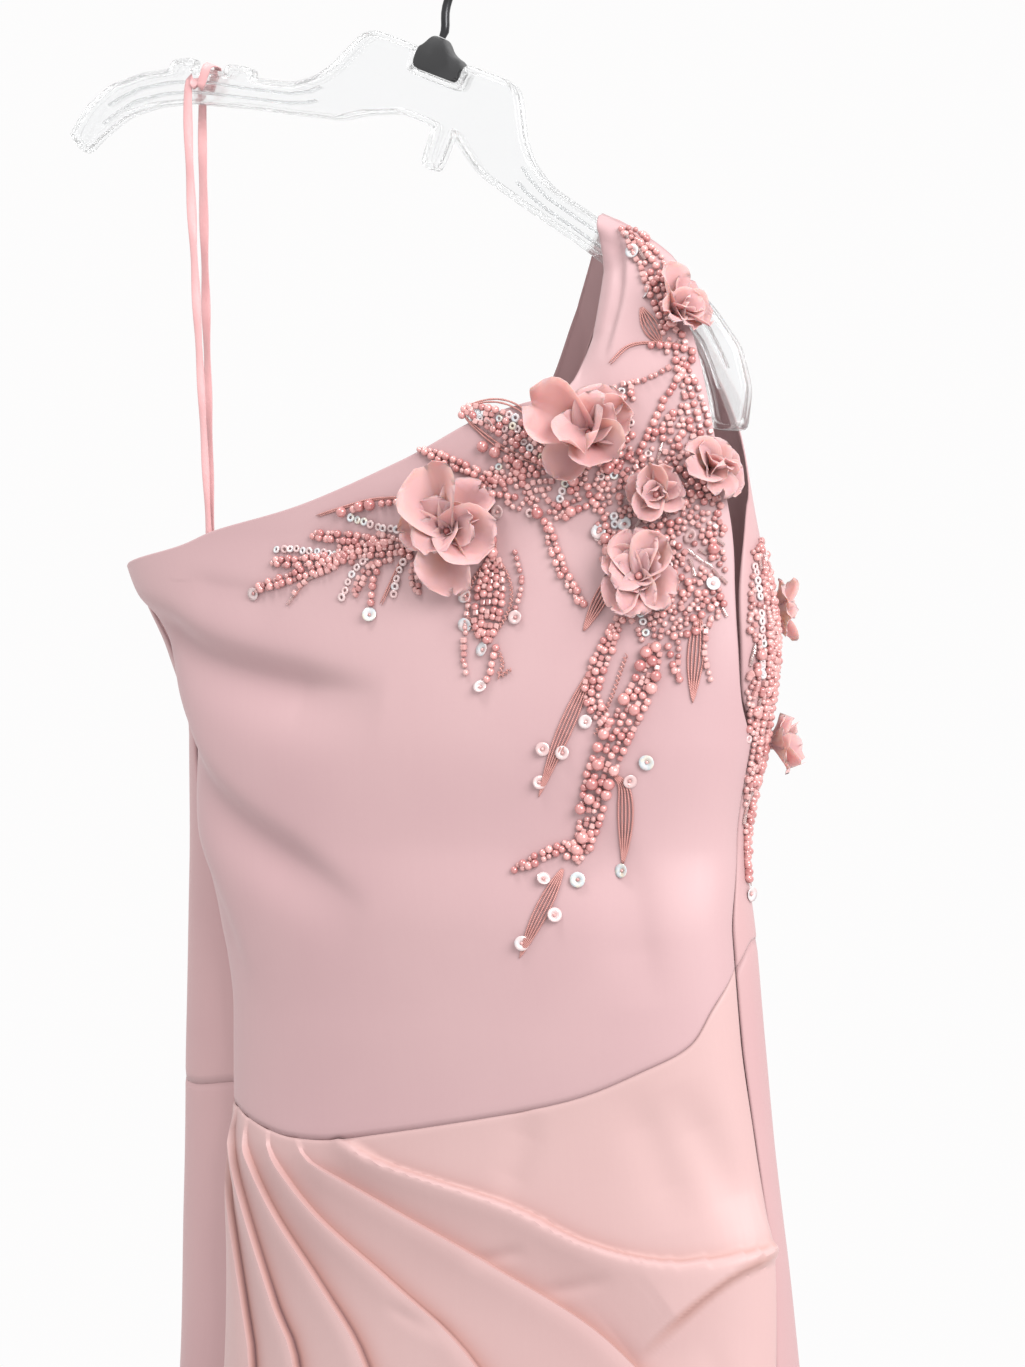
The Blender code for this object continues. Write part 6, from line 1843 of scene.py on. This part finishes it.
@dataclass
class HangerLook:
    """The clear hanger, its black hook block and the wire hook."""

    plan: HangerPlan
    rim: float = 0.0024
    pocket: float = 0.0022
    base_size: tuple[float, float, float] = (0.027, 0.009, 0.012)
    wire: float = 0.0021
    bend: float = 0.019
    rib_run: Spot = (0.062, 0.186)

    def outline(self) -> list[Spot]:
        """Returns: the closed outline in the hanger's own frame."""
        plan = self.plan
        half, reached = plan.notch_half, plan.reached
        head = [(half, 0.0), (0.04, 0.0), (0.047, -0.003), (0.051, -0.009)]
        right = head + [(reached(a, plan.right_reach), b) for a, b in plan.top + plan.low]
        out, wide, low = plan.peg_out, plan.peg_half, plan.peg_low
        peg = [(0.024, -0.035), (out + wide, -0.0335), (out + wide - 0.0008, low),
               (out - wide + 0.0008, low), (out - wide, -0.0325), (-0.012, -0.0325)]
        top = [spot for spot in plan.top
               if not any(a - 0.001 < spot[0] < b + 0.001 for a, b, _ in plan.tabs)]
        for a, b, tall in plan.tabs:
            top += [(a, plan.top_height(a)), (a + 0.0008, plan.top_height(a) + tall),
                    (b - 0.0008, plan.top_height(b) + tall), (b, plan.top_height(b))]
        left = head + [(reached(a, plan.left_reach), b) for a, b in sorted(top)]
        left += [(reached(a, plan.left_reach), b) for a, b in plan.low]
        notch = [(-half, -plan.notch_deep), (half, -plan.notch_deep)]
        return right + peg + [(-a, b) for a, b in reversed(left)] + notch

    @staticmethod
    def inset(outline: Array, by: float) -> Array:
        """Returns: a closed outline moved inwards, with mitred corners."""
        following = np.roll(outline, -1, axis=0)
        area = np.sum(outline[:, 0] * following[:, 1] - following[:, 0] * outline[:, 1])
        runs = (outline - np.roll(outline, 1, axis=0), following - outline)
        first, second = (np.sign(area) * left_of(unit(run)) for run in runs)
        return outline + by * (first + second) / (1 + np.sum(first * second, axis=1))[:, None]

    @staticmethod
    def rounded(outline: Array) -> Array:
        """Returns: an outline with each corner cut twice."""
        for share in (0.22, 0.25):
            ahead = np.roll(outline, -1, axis=0)
            run = ahead - outline
            length = np.maximum(np.linalg.norm(run, axis=1, keepdims=True), 1e-9)
            cut = run * np.minimum(share, 0.0022 / length)
            outline = np.stack((outline + cut, ahead - cut), axis=1).reshape(-1, 2)
        return outline

    def plate(self, outline: Sequence[Spot], depth: float, steps: Sequence[Spot]) -> bmesh.types.BMesh:
        """Makes a flat plate.

        Args:
            outline: its outline.
            depth: its whole depth.
            steps: (inset, drop from the face) for each loop, from the edge inwards.
        Returns:
            The plate in the hanger's frame.
        """
        spots = np.array(outline)
        loops = [(self.rounded(self.inset(spots, by)), depth / 2 - drop) for by, drop in steps]
        rings = [(loop, -y) for loop, y in loops[::-1]] + loops
        return skin(np.array([[self.plan.point(a, b, y) for a, b in loop] for loop, y in rings]))

    def ribs(self) -> list[bmesh.types.BMesh]:
        """Returns: two low ribs along each face of both arms."""
        plan, out = self.plan, []
        outs = np.linspace(*self.rib_run, 26)
        lows = np.interp(outs, *np.array(sorted(plan.low)).T)
        arms = ((-1, plan.left_reach), (1, plan.right_reach))
        for (sign, reach), share, face in product(arms, (0.36, 0.66), (-1, 1)):
            y = face * (plan.depth / 2 - self.pocket)
            path = np.array([plan.point(sign * plan.reached(float(a), reach),
                                        plan.top_height(a) * (1 - share) + low * share, y)
                             for a, low in zip(outs, lows)])
            up = np.tile((0.0, float(face), 0.0), (len(path), 1))
            out.append(skin(tube_loops(path, up, 0.0007, 6)))
        return out

    def build(self) -> None:
        """Builds the hanger, the block and the hook."""
        steps = ((0.0, 0.0012), (0.0004, 0.0004), (0.0012, 0.0), (self.rim - 0.0003, 0.0),
                 (self.rim, 0.0002), (self.rim + 0.0004, self.pocket))
        body = [self.plate(self.outline(), self.plan.depth, steps), *self.ribs()]
        self.join("hanger_clear", body, Finish.CLEAR, "clear_plastic", "hanger")
        wide, deep, tall = self.base_size
        half, low = wide / 2, -self.plan.notch_deep + 0.0003
        high = low + tall
        peak = high + 0.0055
        outline = [(-half, low), (-half, high - 0.002), (-0.011, high), (-0.0075, peak),
                   (-0.0015, peak), (0.004, high), (half, high - 0.002), (half, low)]
        block = self.plate(outline, deep, ((0.0, 0.001), (0.0003, 0.0003), (0.001, 0.0)))
        self.join("hook_block", [block], Finish.BLACK, "black_plastic", "hook_base")
        self.join("hook_bar", [self.hook(peak)], Finish.WIRE, "dark_wire", "hook_wire")

    def hook(self, top: float) -> bmesh.types.BMesh:
        """Returns: the round wire, bent over and open to the left."""
        centre = self.wire - self.bend
        foot = [tuple(self.plan.point(-0.0045, top + rise)) for rise in (0.0003, 0.0043)]
        arc = [(self.bend * cos(a), 0.0, centre + self.bend * sin(a))
               for a in map(radians, range(-10, 181, 10))]
        points = [*foot, (0.001, 0, -0.056), (0.005, 0, -0.046), (0.012, 0, -0.0345), *arc,
                  (-0.0188, 0, -0.0225), (-0.02, 0, -0.0275)]
        path = smooth_line(points, 0.003)
        thick = self.wire * np.where(to_ends(len(path)) == 0, 0.8, 1.0)
        return skin(tube_loops(path, np.tile((0.0, 1.0, 0.0), (len(path), 1)), thick, 14))

    @staticmethod
    def join(name: str, parts: Sequence[bmesh.types.BMesh], finish: Finish, slot: str,
             node: str) -> None:
        """Puts several skins up as one piece."""
        bm = bmesh.new()
        for part in parts:
            mesh = mesh_of("part", part)
            bm.from_mesh(mesh)
            bpy.data.meshes.remove(mesh)
        mesh = mesh_of(name, bm)
        mesh.set_sharp_from_angle(angle=radians(38))
        put_up(name, mesh, (finish,), slot, (node,))


@dataclass
class HangingLoop:
    """The ribbon loop over the left arm, both ends inside the bodice front."""

    form: DressForm
    out: float = 0.13
    x: float = -0.1125
    wide: float = 0.005
    thick: float = 0.0007
    gap: float = 0.0011
    cloth: float = 0.0016
    ends_z: Spot = (-0.318, -0.301)
    shape: tuple[Spot, ...] = (
        (-1.0, -0.35), (-0.85, -1.0), (0.0, -1.15), (0.85, -1.0), (1.0, -0.35), (1.0, 0.35),
        (0.85, 1.0), (0.0, 0.85), (-0.85, 1.0), (-1.0, 0.35))

    def build(self) -> None:
        """Builds the loop as one narrow ribbon."""
        plan, form = self.form.hanger, self.form
        out, top = -plan.reached(self.out, plan.left_reach), plan.top_height(self.out)
        clear = plan.depth / 2 + 0.0008 + self.gap / 2
        over = top + 0.002 + self.gap / 2
        inner = self.cloth + 0.0006 + self.gap / 2
        low, edge = (float(form.front_base(form.front_share(self.x, z), z)[1]) + inner
                     for z in self.ends_z)
        ends = []
        for sign, extra in ((-1, 0.0), (1, self.gap + 0.0012)):
            ends.append([(self.x, low + extra, self.ends_z[0]),
                         (self.x, edge + 0.0004 + extra, self.ends_z[1]),
                         *(tuple(plan.point(out, top - drop, sign * (clear + away)))
                           for drop, away in ((0.026, 0.0012), (0.01, 0.0), (0.001, 0.0))),
                         tuple(plan.point(out, over - 0.0004, sign * (clear - 0.0012)))])
        path = smooth_line(ends[0] + ends[1][::-1], 0.0022)
        steps = np.arange(len(path))
        way = unit(np.gradient(path, axis=0))
        reach = clip01((path[:, 2] - path[:, 2].min()) / 0.2)
        across = np.stack((np.cos(plan.turn * reach), 0 * reach, -np.sin(plan.turn * reach)), 1)
        side = unit(np.cross(way, across))
        across = np.cross(side, way)
        width = self.wide / 2 * (0.72 + 0.28 * reach) * (1 + 0.05 * np.sin(steps * 0.23))
        curl = 0.0004 * np.sin(steps * 0.31)
        loops = np.stack([path + across * (a * width)[:, None]
                          + side * (b * self.thick / 2 + curl * a)[:, None] for a, b in self.shape],
                         axis=1)
        mesh = mesh_of("ribbon_loop", skin(loops))
        along, co = travelled(path), read_points(mesh)
        near = np.linalg.norm(co[:, None] - path[None], axis=2).argmin(axis=1)
        flat = ((co - path[near]) * across[near]).sum(axis=1) / (2 * width[near]) + 0.5
        store_map(mesh, np.stack((clip01(flat), along[near]), axis=-1))
        put_up("ribbon_loop", mesh, (Finish.RIBBON,), "ribbon", ("hanging_loop",))
        log.info("ribbon loop: %.0f mm along", along[-1] * 1000)


@dataclass
class StrapFacing:
    """The two stitched ridges on the inside of the back of the strap, seen through the neck."""

    form: DressForm
    lines: tuple[tuple[Spot, ...], ...] = (
        ((0.08, -0.19), (0.064, -0.215), (0.042, -0.243), (0.015, -0.264)),
        ((0.085, -0.2), (0.07, -0.223), (0.05, -0.249), (0.026, -0.27)))

    def inside(self, spots: Array) -> tuple[Array, Array]:
        """Returns: points and inward normals of the back's inner face at rows of (x, z)."""
        spots = np.atleast_2d(np.asarray(spots, dtype=float))
        outer, facing = self.form.bodice_back(self.form.back_share(spots[:, 0], spots[:, 1]), spots[:, 1])
        return outer - facing * 0.001, -facing

    def build(self) -> None:
        """Builds both ridges as one piece."""
        cloth = Needlework("strap_facing", (), self.inside, 31)
        for line in self.lines:
            cloth.thread(line, 0.0006, -0.0003, Finish.REAR)
        cloth.lay("satin")


@dataclass
class Studio:
    """The camera, the soft lights, the pale floor and the white surround."""

    target: Vector = field(default_factory=lambda: Vector((0.0282, 0.0163, -0.377)))
    distance: float = 1.25
    turn: float = radians(30.0)
    lens: float = 69.13
    surround: tuple[float, ...] = (1.0, 0.995, 0.995, 1.0)
    surround_strength: float = 0.98
    floor_z: float = -1.72
    floor_half: float = 2.4

    def build(self) -> None:
        """Sets the camera, lights, floor and surround."""
        scene = bpy.context.scene
        camera = bpy.data.objects.new("camera", bpy.data.cameras.new("camera"))
        scene.collection.objects.link(camera)
        camera.data.lens, camera.data.sensor_width = self.lens, 36.0
        camera.location = self.target + Vector((sin(self.turn), -cos(self.turn), 0.0)) * self.distance
        camera.rotation_euler = (pi / 2, 0.0, self.turn)
        camera.data.clip_start, camera.data.clip_end = 0.05, 60.0
        scene.camera = camera
        self.light("key", (1.5, -0.8, 0.4), (0.08, 0.0, -0.45), 1.1, 46.0)
        self.light("over", (-0.4, -0.62, 1.15), (0.0, 0.0, -0.45), 0.5, 15.0)
        self.light("rim", (0.9, 1.6, 0.6), (0.0, 0.0, -0.5), 1.4, 5.0)
        world = bpy.data.worlds.new("surround")
        scene.world = world
        world.use_nodes = True
        inputs = world.node_tree.nodes["Background"].inputs
        inputs["Color"].default_value = self.surround
        inputs["Strength"].default_value = self.surround_strength
        scene.view_settings.view_transform = "Standard"
        self.floor()

    def light(self, name: str, place: tuple[float, float, float], aim: tuple[float, float, float],
              size: float, power: float) -> None:
        """Hangs one soft square light that looks at a point."""
        data = bpy.data.lights.new(name, "AREA")
        data.size, data.energy = size, power
        lamp = bpy.data.objects.new(name, data)
        bpy.context.scene.collection.objects.link(lamp)
        lamp.location = place
        lamp.rotation_euler = (Vector(aim) - Vector(place)).to_track_quat("-Z", "Y").to_euler()

    def floor(self) -> None:
        """Lays the plain pale floor under the hem."""
        bm = bmesh.new()
        bmesh.ops.create_grid(bm, x_segments=1, y_segments=1, size=self.floor_half)
        bmesh.ops.translate(bm, verts=bm.verts, vec=(0.0, 0.0, self.floor_z))
        floor = bpy.data.objects.new("floor", mesh_of("floor", bm, False))
        bpy.context.scene.collection.objects.link(floor)
        shop = Shop("pale_floor")
        mottle = shop.noise(shop.place(), 3.0, 3.0)
        shop.set(Base_Color=shop.mix(mottle, (0.93, 0.93, 0.93), (0.9, 0.9, 0.9)), Roughness=0.6)
        floor.data.materials.append(shop.material)


def main() -> None:
    """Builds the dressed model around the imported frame."""
    logging.basicConfig(level=logging.INFO, format="%(message)s")
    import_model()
    plan = HangerPlan()
    form = DressForm(plan)
    Studio().build()
    Gown(form).build()
    for flower in FLOWERS:
        flower.build(form)
    for area in AREAS:
        area.build(form)
    HangerLook(plan).build()
    HangingLoop(form).build()
    StrapFacing(form).build()


if __name__ == "__main__":
    main()
